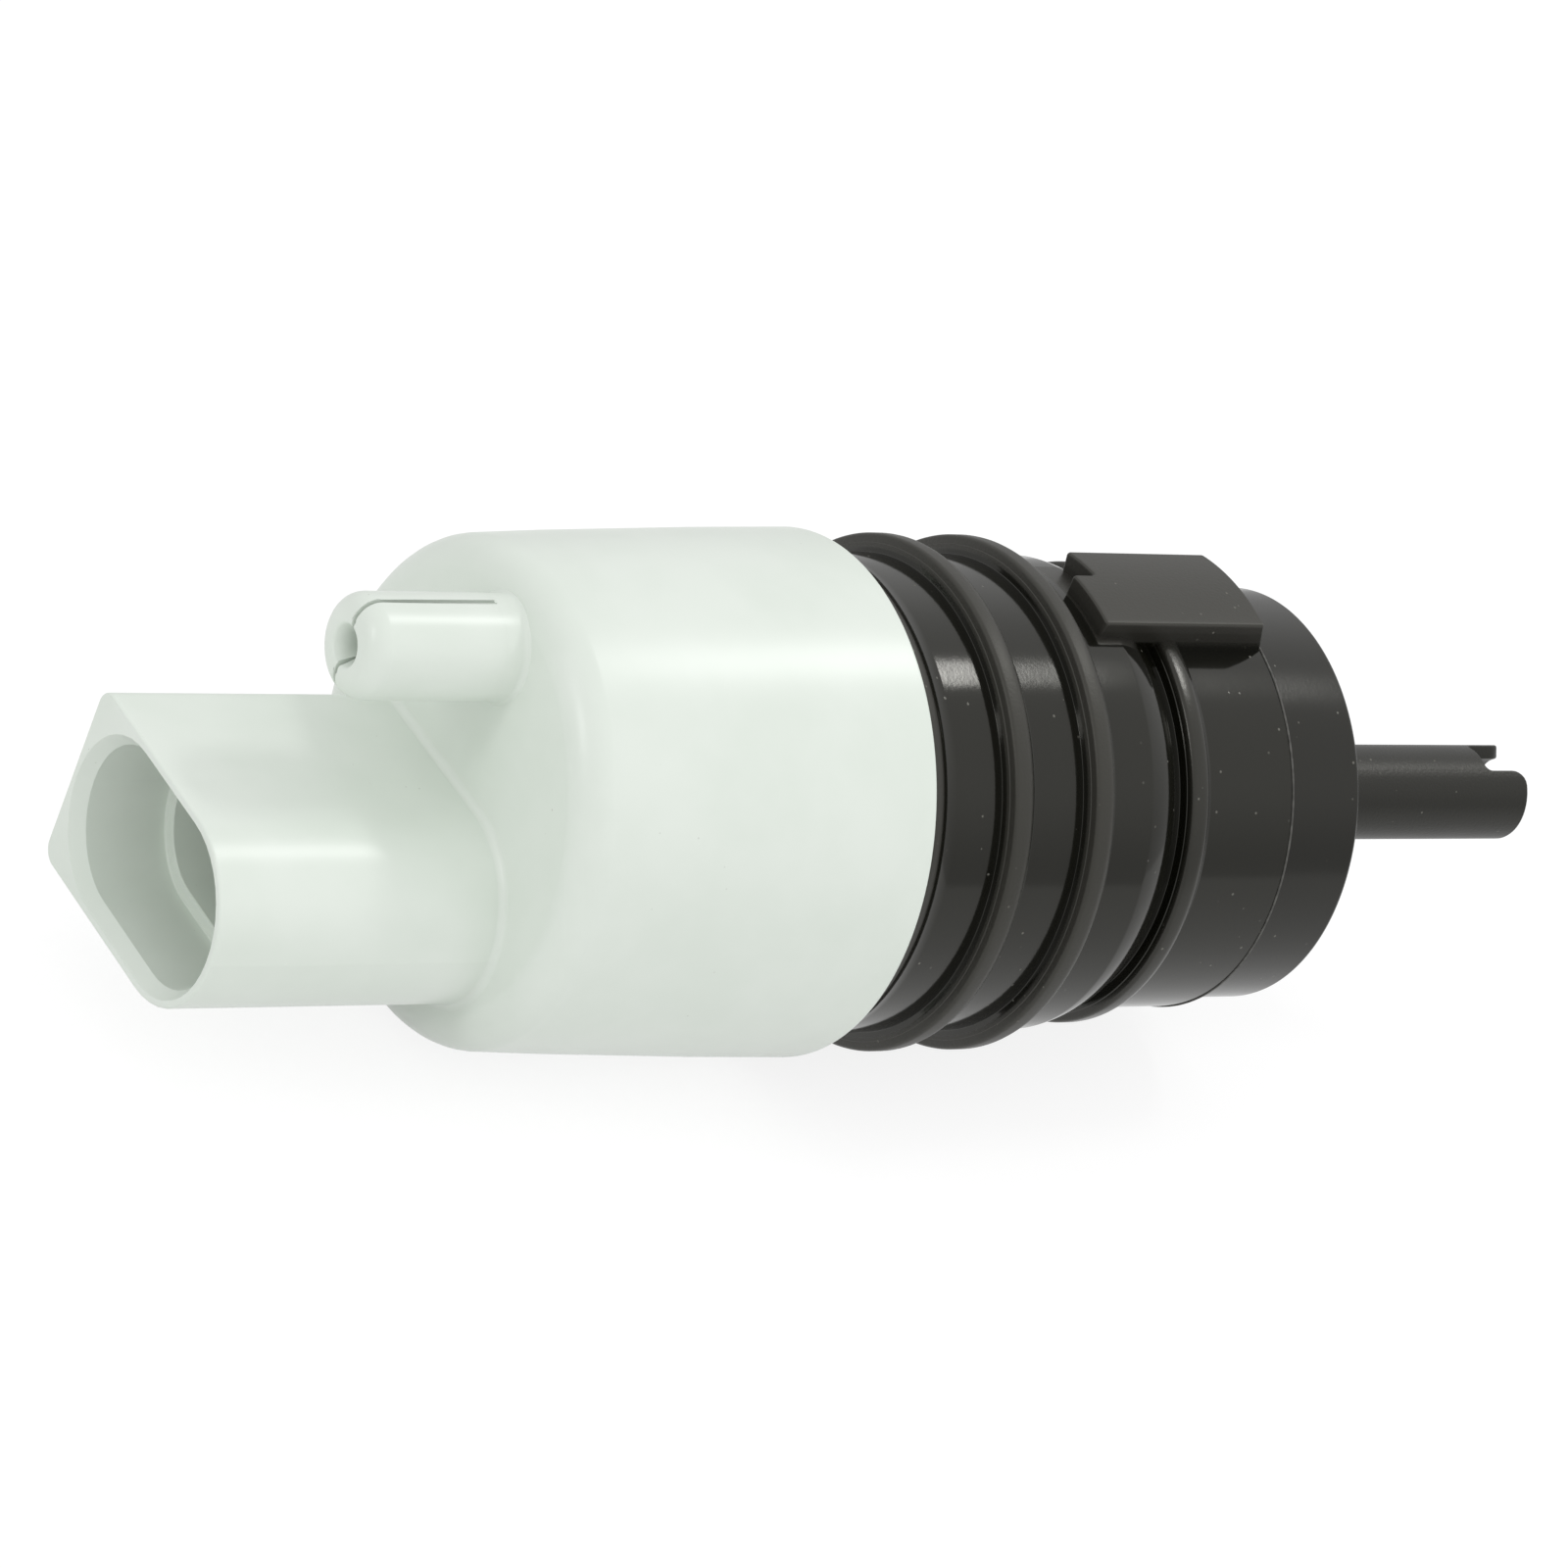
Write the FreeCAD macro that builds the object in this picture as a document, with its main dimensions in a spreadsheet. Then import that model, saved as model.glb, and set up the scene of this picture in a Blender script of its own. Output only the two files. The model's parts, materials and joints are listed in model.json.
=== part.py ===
import FreeCAD, Part
import Sketcher
import math
import os
import re

# Windshield washer pump, lying on its side.
# X runs along the pump axis towards the inlet stub, Z is up, Y points to the outlet side.
# The origin is the centre of the flat face that the inlet stub stands on.

SIZES = [
    # cap
    ("cap_length", 25.7, "cap, from its rim to its flat end"),
    ("cap_wall", 1.4, "wall of the cap at its rim"),
    ("cap_draft", 0.9, "how much narrower the cap is at its flat end"),
    ("cap_end_round", 2.2, "round between the cap's side and end"),
    ("cap_end_wall", 1.8, "thickness of the cap's end"),
    ("cap_play", 0.1, "play of the cap round the barrel"),
    ("cap_step_width", 0.95, "width of the step that the motor seats on"),
    ("cap_motor_play", 0.45, "play of the motor in the cap"),
    # plug socket
    ("socket_length", 20.3, "plug socket, from the cap's end to its mouth"),
    ("socket_bore_radius", 5.35, "half width of the socket's bore"),
    ("socket_wall", 1.1, "wall of the plug socket"),
    ("socket_span", 18.0, "long side of the socket's bore"),
    ("socket_centre_side", 0.7, "shift of the socket away from the outlet side"),
    ("socket_drop", 5.15, "height of the socket's centre below the pump axis"),
    ("socket_corner", 1.2, "corner radius of the socket's square end"),
    ("socket_step_depth", 6.7, "depth of the shoulder in the bore"),
    ("socket_step", 0.75, "width of the shoulder in the bore"),
    ("socket_depth", 18.8, "depth of the socket's floor"),
    ("socket_lead", 0.6, "lead-in at the mouth"),
    # vent boss
    ("boss_length", 12.5, "vent boss, from the cap's end"),
    ("boss_radius", 3.35, "outside of the vent boss"),
    ("boss_inset", 2.85, "vent boss, from the motor can's outside down to its centre"),
    ("boss_round", 1.4, "round on the vent boss's end"),
    ("vent_radius", 0.9, "vent hole"),
    ("slit_width", 0.3, "slit across the vent boss"),
    ("slit_stop", 1.6, "distance from the slit's end to the cap's end"),
    ("filter_radius", 1.8, "felt disc"),
    ("filter_thickness", 1.0, "felt disc"),
    ("seal_ring_thickness", 1.5, "rubber ring between barrel and cap"),
    # terminals
    ("blade_width", 2.8, "terminal blade"),
    ("blade_thickness", 0.8, "terminal blade"),
    ("blade_pitch", 6.0, "distance between the blades"),
    ("blade_setback", 9.3, "distance from the socket's mouth to the blade tips"),
    ("blade_taper", 0.8, "chamfer at the blade's tip"),
    ("blade_seat", 1.5, "depth of the blade's end in the motor's end bell"),
    # housing outside
    ("body_length", 30.5, "housing, from the cap's rim to the parting line"),
    ("barrel_wall", 1.4, "wall of the barrel"),
    ("barrel_overlap", 14.0, "length of barrel inside the cap"),
    ("collar_height", 0.6, "collar that the cap's rim seats on"),
    ("collar_length", 1.0, "collar"),
    ("collar_slope", 1.3, "slope from the collar to the barrel"),
    ("rib_start", 6.1, "first press rib, from the cap's rim"),
    ("rib_pitch", 6.4, "distance between the press ribs"),
    ("rib_height", 1.25, "height of the press ribs"),
    ("rib_foot", 2.7, "width of a rib at its foot"),
    ("rib_front_slope", 0.25, "slope of a rib's front"),
    ("rib_back_slope", 0.5, "slope of a rib's back"),
    ("rib_corner", 0.4, "rounded-off corner of a rib's crown"),
    ("rib_corner_slope", 0.12, "slope of a rib's side beside that corner"),
    ("neck_start", 17.9, "start of the neck, from the cap's rim"),
    ("neck_slope", 2.9, "length of the neck's slope"),
    ("neck_flat", 0.6, "flat at the bottom of the neck"),
    ("neck_wall", 1.3, "wall of the neck"),
    ("stop_rib_height", 0.95, "height of the third rib over the chamber"),
    ("stop_rib_foot", 2.5, "width of the third rib at its foot"),
    ("chamber_wall", 1.5, "wall of the impeller chamber"),
    # fixing lug
    ("lug_height", 1.3, "height of the fixing lug over the barrel"),
    ("lug_half_angle", 14.2, "half the angle that the lug spans"),
    ("lug_front", 16.35, "front of the lug's long half, from the cap's rim"),
    ("lug_step", 1.75, "step back of the lug's short half"),
    ("lug_step_angle", 2.5, "where the step lies, from the top"),
    ("lug_back", 1.2, "back of the lug's outer face, from the parting line"),
    ("lug_back_slope", 1.1, "slope of the lug's back"),
    # housing inside
    ("motor_play", 0.25, "play of the motor in the barrel"),
    ("chamber_radius", 12.7, "inside of the impeller chamber"),
    ("chamber_depth", 10.0, "impeller chamber in the housing"),
    ("bulkhead", 3.9, "wall between motor and chamber"),
    ("nose_play", 0.4, "play round the motor's nose"),
    ("boss_recess_depth", 1.3, "recess for the motor's nose"),
    ("shaft_hole_play", 0.8, "play of the shaft in the bulkhead"),
    ("shaft_hole_length", 0.7, "hole for the shaft"),
    ("seal_wall", 3.9, "shaft seal, from shaft to pocket"),
    ("seal_boss_wall", 1.5, "wall of the boss round the seal"),
    ("seal_boss_height", 3.0, "boss round the seal"),
    # chamber cover
    ("cover_length", 6.1, "cover, from the parting line to its end face"),
    ("cover_step", 0.55, "how far the cover stands back from the chamber's outside"),
    ("cover_bevel", 0.3, "bevel on the cover's end"),
    ("cover_room_step", 0.5, "how much narrower the cover's inside is than the chamber"),
    ("cover_end_wall", 1.7, "thickness of the cover's end"),
    ("spigot_play", 0.1, "play of the cover's spigot in the chamber"),
    ("spigot_wall", 1.2, "wall of the spigot"),
    ("spigot_length", 2.0, "spigot"),
    # inlet stub
    ("stub_radius", 3.2, "outside of the inlet stub"),
    ("stub_bore", 2.25, "bore of the inlet stub"),
    ("stub_length", 23.2, "inlet stub"),
    ("notch_width", 2.8, "notch in the stub's end"),
    ("notch_depth", 3.3, "notch in the stub's end"),
    ("lobe_round", 1.1, "round on the lobes of the stub's end"),
    # outlet nipple
    ("nipple_radius", 2.4, "outside of the outlet nipple"),
    ("nipple_bore", 1.5, "bore of the outlet nipple"),
    ("nipple_offset", 10.9, "distance of the nipple's axis from the pump axis"),
    ("nipple_setback", 3.6, "distance of the nipple's axis from the cover's end"),
    ("nipple_reach", 27.0, "length of the nipple from its foot point"),
    ("nipple_slope", 8.0, "angle of the nipple below the horizontal"),
    ("barb_radius", 2.9, "hose barb"),
    ("barb_length", 3.2, "hose barb"),
    ("barb_tip_radius", 1.95, "hose barb at its tip"),
    # motor case
    ("can_radius", 13.85, "outside of the motor can"),
    ("can_wall", 1.0, "wall of the motor can"),
    ("motor_setback", 4.9, "motor, from the inside of the cap's end"),
    ("can_bevel", 0.8, "bevel on the can's closed end"),
    ("seat_play", 0.05, "play of pieces that sit in a round seat without a press fit"),
    ("nose_wall", 1.2, "wall round a bearing bush"),
    ("nose_length", 2.0, "nose of the can"),
    ("nose_lip", 0.8, "end wall of the nose"),
    ("shaft_gap", 0.6, "play of the shaft in the motor's end walls"),
    ("damper_thickness", 1.2, "rubber ring in front of the can"),
    ("damper_width", 3.5, "rubber ring in front of the can"),
    ("damper_setback", 1.35, "how far the ring lies inside the can's edge"),
    ("bell_flange", 3.0, "flange of the end bell"),
    ("bell_spigot", 2.4, "spigot of the end bell"),
    ("bell_boss_length", 1.6, "bearing boss of the end bell"),
    ("bell_boss_wall", 0.8, "end wall of the bearing boss"),
    # magnets
    ("magnet_thickness", 2.7, "magnet segment"),
    ("magnet_half_angle", 62.0, "half the angle that a magnet spans"),
    ("clip_thickness", 0.6, "leaf spring between the magnets"),
    ("clip_length", 12.0, "leaf spring between the magnets"),
    # brushes
    ("brush_length", 3.0, "brush along the axis"),
    ("brush_height", 3.0, "brush across the axis"),
    ("brush_depth", 2.95, "brush from commutator to arm"),
    ("brush_play", 0.05, "film between brush and commutator"),
    ("arm_thickness", 0.4, "brush arm"),
    # rotor
    ("shaft_radius", 1.6, "motor shaft"),
    ("running_play", 0.05, "play between shaft and bearings"),
    ("end_play", 0.2, "end play of the rotor"),
    ("shaft_end_gap", 0.4, "gap behind the shaft's end"),
    ("bush_wall", 1.35, "wall of the bearing bushes"),
    ("bearing_length", 4.0, "rear bearing bush"),
    ("bearing_inset", 1.0, "how far the front bush stands into the can"),
    ("washer_width", 2.0, "thrust washer"),
    ("washer_thickness", 0.6, "thrust washer"),
    ("commutator_wall", 2.4, "commutator"),
    ("commutator_length", 5.8, "commutator"),
    ("tang_height", 0.8, "tangs of the commutator"),
    ("tang_width", 0.8, "tangs of the commutator"),
    ("air_gap", 0.4, "gap between the stack and the magnets"),
    ("slot_count", 5, "slots in the stack"),
    ("slot_mouth", 0.8, "half width of a slot's mouth"),
    ("slot_lip", 1.0, "depth of a slot's lip"),
    ("slot_shoulder", 3.6, "half width of a slot under its lip"),
    ("slot_floor", 1.2, "half width of a slot's floor"),
    ("slot_floor_radius", 3.9, "radius of a slot's floor"),
    ("slot_lining", 0.2, "lining between winding and stack"),
    ("turn_height", 2.8, "end turns of the winding"),
    ("turn_setback", 1.5, "how far the end turns lie inside the stack's edge"),
    ("turn_bevel", 1.0, "bevel on the end turns"),
    # shaft seal
    ("seal_length", 3.2, "rubber shaft seal"),
    ("seal_play", 0.05, "film between seal lip and shaft"),
    ("retainer_length", 1.7, "ring that holds the seal"),
    ("retainer_play", 1.4, "play of the shaft in that ring"),
    # impeller
    ("impeller_gap", 0.8, "gap behind the impeller's hub"),
    ("hub_wall", 1.8, "hub of the impeller"),
    ("hub_length", 9.3, "hub of the impeller"),
    ("hub_cap", 1.6, "closed end of the hub"),
    ("disc_gap", 2.3, "gap between the back disc and the chamber's wall"),
    ("disc_thickness", 1.2, "back disc of the impeller"),
    ("disc_start", 4.3, "back disc, from the hub's rear end"),
    ("vane_count", 6, "vanes of the impeller"),
    ("vane_height", 3.4, "vanes of the impeller"),
    ("vane_thickness", 0.9, "vanes of the impeller"),
    ("vane_lean", 2.6, "how far a vane leans back at its tip"),
    ("vane_root", 0.68, "how deep a vane is rooted in the hub"),
    ("vane_setback", 0.416, "how far a vane ends inside the disc's edge"),
]

CLOSE = 0.002

doc = FreeCAD.newDocument("WasherPump")
sheet = doc.addObject("Spreadsheet::Sheet", "Sizes")
for row, (name, value, note) in enumerate(SIZES, start=1):
    sheet.set(f"A{row}", name)
    sheet.set(f"B{row}", str(value))
    sheet.set(f"C{row}", note)
    sheet.setAlias(f"B{row}", name)
doc.recompute()

ALIASES = {name for name, value, note in SIZES}


def bound(text):
    """The text of a size as an expression on the sheet."""
    return re.sub(r"[a-z_]+", lambda word: f"Sizes.{word[0]}" if word[0] in ALIASES else word[0], text)


def number(text):
    """The present value of a size."""
    return float(sheet.evalExpression(bound(text)))


def pair(corner):
    """The present values of an outline's corner."""
    return FreeCAD.Vector(number(corner[0]), number(corner[1]), 0)


# Stations along the pump axis
PARTING = "(-cover_length)"
RIM = f"({PARTING} - body_length)"
CAP_END = f"({RIM} - cap_length)"
MOUTH = f"({CAP_END} - socket_length)"
CAP_FLOOR = f"({CAP_END} + cap_end_wall)"
BARREL_END = f"({RIM} - barrel_overlap)"
BULKHEAD_FRONT = f"({PARTING} - chamber_depth)"
POCKET_FLOOR = f"({BULKHEAD_FRONT} - bulkhead)"
CAN_FRONT = f"({POCKET_FLOOR} - damper_thickness)"
BELL_BACK = f"({CAP_FLOOR} + motor_setback)"
CAN_BACK = f"({BELL_BACK} + bell_flange)"
BELL_FACE = f"({CAN_BACK} + bell_spigot)"
REAR_BEARING_END = f"({BELL_BACK} - bell_boss_length + bell_boss_wall)"
WASHER_BACK = f"({BELL_FACE} + end_play)"
COMMUTATOR_BACK = f"({WASHER_BACK} + washer_thickness)"
WINDING_BACK = f"({COMMUTATOR_BACK} + commutator_length)"
CORE_BACK = f"({WINDING_BACK} + turn_height)"
FRONT_BEARING_BACK = f"({CAN_FRONT} - can_wall - bearing_inset)"
WINDING_FRONT = f"({FRONT_BEARING_BACK} - end_play - washer_thickness)"
CORE_FRONT = f"({WINDING_FRONT} - turn_height)"
SEAL_BACK = f"({POCKET_FLOOR} + boss_recess_depth + shaft_hole_length)"
SEAL_FRONT = f"({SEAL_BACK} + seal_length)"
SEAL_BOSS_FRONT = f"({BULKHEAD_FRONT} + seal_boss_height)"
HUB_BACK = f"({SEAL_BOSS_FRONT} + impeller_gap)"
HUB_FRONT = f"({HUB_BACK} + hub_length)"
SHAFT_FRONT = f"({HUB_FRONT} - hub_cap)"
SOCKET_HEIGHT = "(-socket_drop)"

# Radii that several pieces share
MOTOR_BORE = "(can_radius + motor_play)"
BARREL = f"({MOTOR_BORE} + barrel_wall)"
CAP_BORE = f"({BARREL} + cap_play)"
CAP_RIM_RADIUS = f"({CAP_BORE} + cap_wall)"
CAP_END_RADIUS = f"({CAP_RIM_RADIUS} - cap_draft)"
CAP_MOTOR_ROOM = "(can_radius + cap_motor_play)"
COLLAR = f"({BARREL} + collar_height)"
RIB_CROWN = f"({BARREL} + rib_height)"
LUG_FACE = f"({BARREL} + lug_height)"
NECK = "(chamber_radius + neck_wall)"
CHAMBER_OUTER = "(chamber_radius + chamber_wall)"
STOP_RIB_CROWN = f"({CHAMBER_OUTER} + stop_rib_height)"
COVER_OUTER = f"({CHAMBER_OUTER} - cover_step)"
COVER_ROOM = "(chamber_radius - cover_room_step)"
CAN_INNER = "(can_radius - can_wall)"
CORE = f"({CAN_INNER} - seat_play - magnet_thickness - air_gap)"
TURNS = f"({CORE} - turn_setback)"
BUSH = "(shaft_radius + running_play + bush_wall)"
NOSE = f"({BUSH} + nose_wall)"
SHAFT_PASS = "(shaft_radius + shaft_gap)"
SEAL = "(shaft_radius + seal_wall)"
SEAL_BOSS = f"({SEAL} + seal_boss_wall)"
COMMUTATOR = "(shaft_radius + commutator_wall)"
HUB = "(shaft_radius + hub_wall)"
DISC = "(chamber_radius - disc_gap)"
BOSS_HEIGHT = "(can_radius - boss_inset)"
BLADE_TIP = f"({MOUTH} + blade_setback)"
BLADE_ROOT = f"({BELL_BACK} + blade_seat)"


def new_body(label):
    body = doc.addObject("PartDesign::Body", label)
    body.Label = label
    return body


def new_sketch(body, name, role, offset=None):
    """A sketch on one of the body's own origin planes, moved along that plane's normal."""
    plane = [item for item in body.Origin.OriginFeatures if item.Role == role][0]
    sketch = body.newObject("Sketcher::SketchObject", name)
    sketch.AttachmentSupport = (plane, [""])
    sketch.MapMode = "FlatFace"
    if offset:
        sketch.setExpression("AttachmentOffset.Base.z", bound(offset))
    return sketch


def fix_point(sketch, item, end, corner):
    """Bind a point of a sketch to two sizes."""
    place = pair(corner)
    for kind, value, text in (("DistanceX", place.x, corner[0]), ("DistanceY", place.y, corner[1])):
        row = sketch.addConstraint(Sketcher.Constraint(kind, -1, 1, item, end, value))
        sketch.setExpression(f"Constraints[{row}]", bound(text))


def draw_outline(sketch, corners, arcs=None):
    """A closed outline. arcs: side number to the arc's centre and whether it bulges outwards."""
    arcs = arcs or {}
    places = [pair(corner) for corner in corners]
    count = len(corners)
    ends = []
    for side in range(count):
        start, stop = places[side], places[(side + 1) % count]
        if side not in arcs:
            sketch.addGeometry(Part.LineSegment(start, stop), False)
            ends.append((1, 2))
            continue
        centre_text, outwards = arcs[side]
        centre = pair(centre_text)
        first, last = (start, stop) if outwards else (stop, start)
        circle = Part.Circle(centre, FreeCAD.Vector(0, 0, 1), (start - centre).Length)
        from_angle = math.atan2(first.y - centre.y, first.x - centre.x)
        to_angle = math.atan2(last.y - centre.y, last.x - centre.x)
        sketch.addGeometry(Part.ArcOfCircle(circle, from_angle, to_angle), False)
        ends.append((1, 2) if outwards else (2, 1))
    for side in range(count):
        follower = (side + 1) % count
        joined = (side, ends[side][1], follower, ends[follower][0])
        sketch.addConstraint(Sketcher.Constraint("Coincident", *joined))
    for side, corner in enumerate(corners):
        fix_point(sketch, side, ends[side][0], corner)
    for side, (centre_text, outwards) in arcs.items():
        chord = places[(side + 1) % count] - places[side]
        upright = abs(chord.x) < abs(chord.y)
        kind, text = ("DistanceX", centre_text[0]) if upright else ("DistanceY", centre_text[1])
        row = sketch.addConstraint(Sketcher.Constraint(kind, -1, 1, side, 3, number(text)))
        sketch.setExpression(f"Constraints[{row}]", bound(text))


def draw_circle(sketch, centre, radius):
    """A circle bound to sizes."""
    circle = Part.Circle(pair(centre), FreeCAD.Vector(0, 0, 1), number(radius))
    item = sketch.addGeometry(circle, False)
    fix_point(sketch, item, 3, centre)
    row = sketch.addConstraint(Sketcher.Constraint("Radius", item, number(radius)))
    sketch.setExpression(f"Constraints[{row}]", bound(radius))


def draw_box(sketch, left, right, low, high):
    """A rectangle between four sizes."""
    draw_outline(sketch, [(left, low), (right, low), (right, high), (left, high)])


def turn(body, name, corners, cut=False):
    """Turn an outline of (along, radius) corners about the pump axis."""
    sketch = new_sketch(body, f"{name}_outline", "XZ_Plane")
    draw_outline(sketch, corners)
    feature = body.newObject("PartDesign::Groove" if cut else "PartDesign::Revolution", name)
    feature.Profile = sketch
    feature.ReferenceAxis = (sketch, ["H_Axis"])
    feature.Angle = 360
    sketch.Visibility = False
    doc.recompute()
    return feature


def pad(body, name, sketch, length):
    """Raise a sketch along its plane's normal."""
    feature = body.newObject("PartDesign::Pad", name)
    feature.Profile = sketch
    feature.setExpression("Length", bound(length))
    doc.recompute()
    return feature


def pocket(body, name, sketch, length):
    """Cut a sketch along its plane's normal."""
    feature = body.newObject("PartDesign::Pocket", name)
    feature.Profile = sketch
    feature.Reversed = True
    feature.setExpression("Length", bound(length))
    doc.recompute()
    return feature


def pattern(body, name, feature, count):
    """Repeat a feature about the pump axis."""
    axis = [item for item in body.Origin.OriginFeatures if item.Role == "X_Axis"][0]
    repeat = body.newObject("PartDesign::PolarPattern", name)
    repeat.Originals = [feature]
    repeat.Axis = (axis, [""])
    repeat.Angle = 360
    repeat.setExpression("Occurrences", bound(count))
    body.Tip = repeat
    doc.recompute()
    return repeat


def ring_edges(shape, corners):
    """The names of the round edges that a turned outline's corners leave."""
    found = []
    for along, radius in corners:
        for index, edge in enumerate(shape.Edges, start=1):
            curve = edge.Curve
            if curve.TypeId != "Part::GeomCircle":
                continue
            on_axis = math.hypot(curve.Center.y, curve.Center.z) < CLOSE
            here = abs(curve.Center.x - number(along)) < CLOSE
            if on_axis and here and abs(curve.Radius - number(radius)) < CLOSE:
                found.append(f"Edge{index}")
    return found


def soften(body, name, kind, names, radius, size_name="Radius"):
    """A fillet or chamfer on named edges of the body's last feature."""
    if not names:
        raise ValueError(f"{name}: no edge was found")
    base = body.Tip
    feature = body.newObject(kind, name)
    feature.Base = (base, names)
    feature.setExpression(size_name, bound(radius))
    doc.recompute()
    return feature


def fillet(body, name, names, radius):
    return soften(body, name, "PartDesign::Fillet", names, radius)


def turned_piece(label, corners):
    """A piece that is one turned outline."""
    body = new_body(label)
    turn(body, f"{label}_turn", corners)
    return body


def ring_piece(label, back, front, inner, outer):
    """A plain ring, bush or rod."""
    return turned_piece(label, [(back, inner), (front, inner), (front, outer), (back, outer)])


# Connector cap
def socket_outline(sketch, half_width, span, square_end):
    """The plug socket's section: round at the near end, square or round at the far end."""
    near = f"(-socket_centre_side - ({span}) / 2 + ({half_width}))"
    far = f"(-socket_centre_side + ({span}) / 2)"
    far_centre = f"({far} - ({half_width}))"
    low = f"({SOCKET_HEIGHT} - ({half_width}))"
    high = f"({SOCKET_HEIGHT} + ({half_width}))"
    near_centre = (near, SOCKET_HEIGHT)
    if square_end:
        corners = [(near, low), (far, low), (far, high), (near, high)]
        draw_outline(sketch, corners, {3: (near_centre, True)})
        return
    corners = [(near, low), (far_centre, low), (far_centre, high), (near, high)]
    draw_outline(sketch, corners, {1: ((far_centre, SOCKET_HEIGHT), True), 3: (near_centre, True)})


def make_connector_cap():
    body = new_body("connector_cap")
    turn(body, "cap_solid", [(CAP_END, "0"), (RIM, "0"), (RIM, CAP_RIM_RADIUS), (CAP_END, CAP_END_RADIUS)])
    fillet(body, "cap_end_edge", ring_edges(body.Shape, [(CAP_END, CAP_END_RADIUS)]), "cap_end_round")

    outer_half = "socket_bore_radius + socket_wall"
    outer_span = "socket_span + 2 * socket_wall"
    root = "cap_end_wall / 2"
    sketch = new_sketch(body, "socket_section", "YZ_Plane", MOUTH)
    socket_outline(sketch, outer_half, outer_span, True)
    pad(body, "socket_tube", sketch, f"socket_length + {root}")
    corner_y = number(f"-socket_centre_side + ({outer_span}) / 2")
    corners = []
    for index, edge in enumerate(body.Shape.Edges, start=1):
        box = edge.BoundBox
        along = box.XLength > number("socket_length") / 2
        if along and box.YLength < CLOSE and abs(box.YMin - corner_y) < CLOSE:
            corners.append(f"Edge{index}")
    fillet(body, "socket_corners", corners, "socket_corner")

    sketch = new_sketch(body, "boss_section", "YZ_Plane", f"{CAP_END} - boss_length")
    draw_circle(sketch, ("0", BOSS_HEIGHT), "boss_radius")
    pad(body, "vent_boss", sketch, f"boss_length + {root}")
    boss_end = number(f"{CAP_END} - boss_length")
    rim = [f"Edge{index}" for index, edge in enumerate(body.Shape.Edges, start=1)
           if edge.BoundBox.XLength < CLOSE and abs(edge.BoundBox.XMin - boss_end) < CLOSE]
    fillet(body, "boss_edge", rim, "boss_round")

    inner = CAP_BORE
    motor_room = CAP_MOTOR_ROOM
    ledge = f"{BARREL_END} - seal_ring_thickness"
    step_inner = "can_radius - cap_step_width"
    turn(body, "cap_room", [
        (RIM, "0"), (RIM, inner), (ledge, inner), (ledge, motor_room),
        (BELL_BACK, motor_room), (BELL_BACK, step_inner), (CAP_FLOOR, step_inner), (CAP_FLOOR, "0"),
    ], cut=True)

    sketch = new_sketch(body, "socket_bore_section", "YZ_Plane", MOUTH)
    socket_outline(sketch, "socket_bore_radius", "socket_span", False)
    pocket(body, "socket_bore", sketch, "socket_step_depth")
    sketch = new_sketch(body, "socket_inner_section", "YZ_Plane", MOUTH)
    socket_outline(sketch, "socket_bore_radius - socket_step", "socket_span - 2 * socket_step", False)
    pocket(body, "socket_inner", sketch, "socket_depth")
    mouth = number(MOUTH)
    middle = number(SOCKET_HEIGHT)
    bore_end = number("-socket_centre_side + socket_span / 2") + CLOSE
    half = number("socket_bore_radius") + CLOSE
    lead = [f"Edge{index}" for index, edge in enumerate(body.Shape.Edges, start=1)
            if edge.BoundBox.XLength < CLOSE and abs(edge.BoundBox.XMin - mouth) < CLOSE
            and edge.BoundBox.YMax < bore_end and abs(edge.BoundBox.Center.z - middle) < half
            and edge.BoundBox.ZLength < 2 * half]
    soften(body, "socket_lead_in", "PartDesign::Chamfer", lead, "socket_lead", "Size")

    for side, sign in (("near", "-"), ("far", "+")):
        centre = f"(-socket_centre_side {sign} blade_pitch / 2)"
        sketch = new_sketch(body, f"blade_slot_{side}_section", "YZ_Plane", f"{MOUTH} + socket_depth / 2")
        draw_box(sketch, f"{centre} - blade_width / 2", f"{centre} + blade_width / 2",
                 f"{SOCKET_HEIGHT} - blade_thickness / 2", f"{SOCKET_HEIGHT} + blade_thickness / 2")
        pocket(body, f"blade_slot_{side}", sketch, f"{CAP_FLOOR} - ({MOUTH} + socket_depth / 2)")

    sketch = new_sketch(body, "vent_section", "YZ_Plane", f"{CAP_END} - boss_length")
    draw_circle(sketch, ("0", BOSS_HEIGHT), "vent_radius")
    pocket(body, "vent_hole", sketch, "boss_length + cap_end_wall")
    sketch = new_sketch(body, "slit_section", "YZ_Plane", f"{CAP_END} - boss_length")
    draw_box(sketch, "-slit_width / 2", "slit_width / 2",
             f"{BOSS_HEIGHT} - boss_radius", f"{BOSS_HEIGHT} + boss_radius")
    pocket(body, "slit", sketch, "boss_length - slit_stop")
    return body


def make_blade(side, sign):
    """A flat terminal blade with a chamfered tip, from the socket into the motor's end bell."""
    body = new_body(f"terminal_blade_{side}")
    centre = f"(-socket_centre_side {sign} blade_pitch / 2)"
    sketch = new_sketch(body, f"blade_{side}_outline", "XY_Plane", f"{SOCKET_HEIGHT} - blade_thickness / 2")
    low = f"({centre} - blade_width / 2)"
    high = f"({centre} + blade_width / 2)"
    draw_outline(sketch, [
        (BLADE_TIP, f"{low} + blade_taper"), (f"{BLADE_TIP} + blade_taper", low), (BLADE_ROOT, low),
        (BLADE_ROOT, high), (f"{BLADE_TIP} + blade_taper", high), (BLADE_TIP, f"{high} - blade_taper"),
    ])
    pad(body, f"blade_{side}", sketch, "blade_thickness")
    return body


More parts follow.
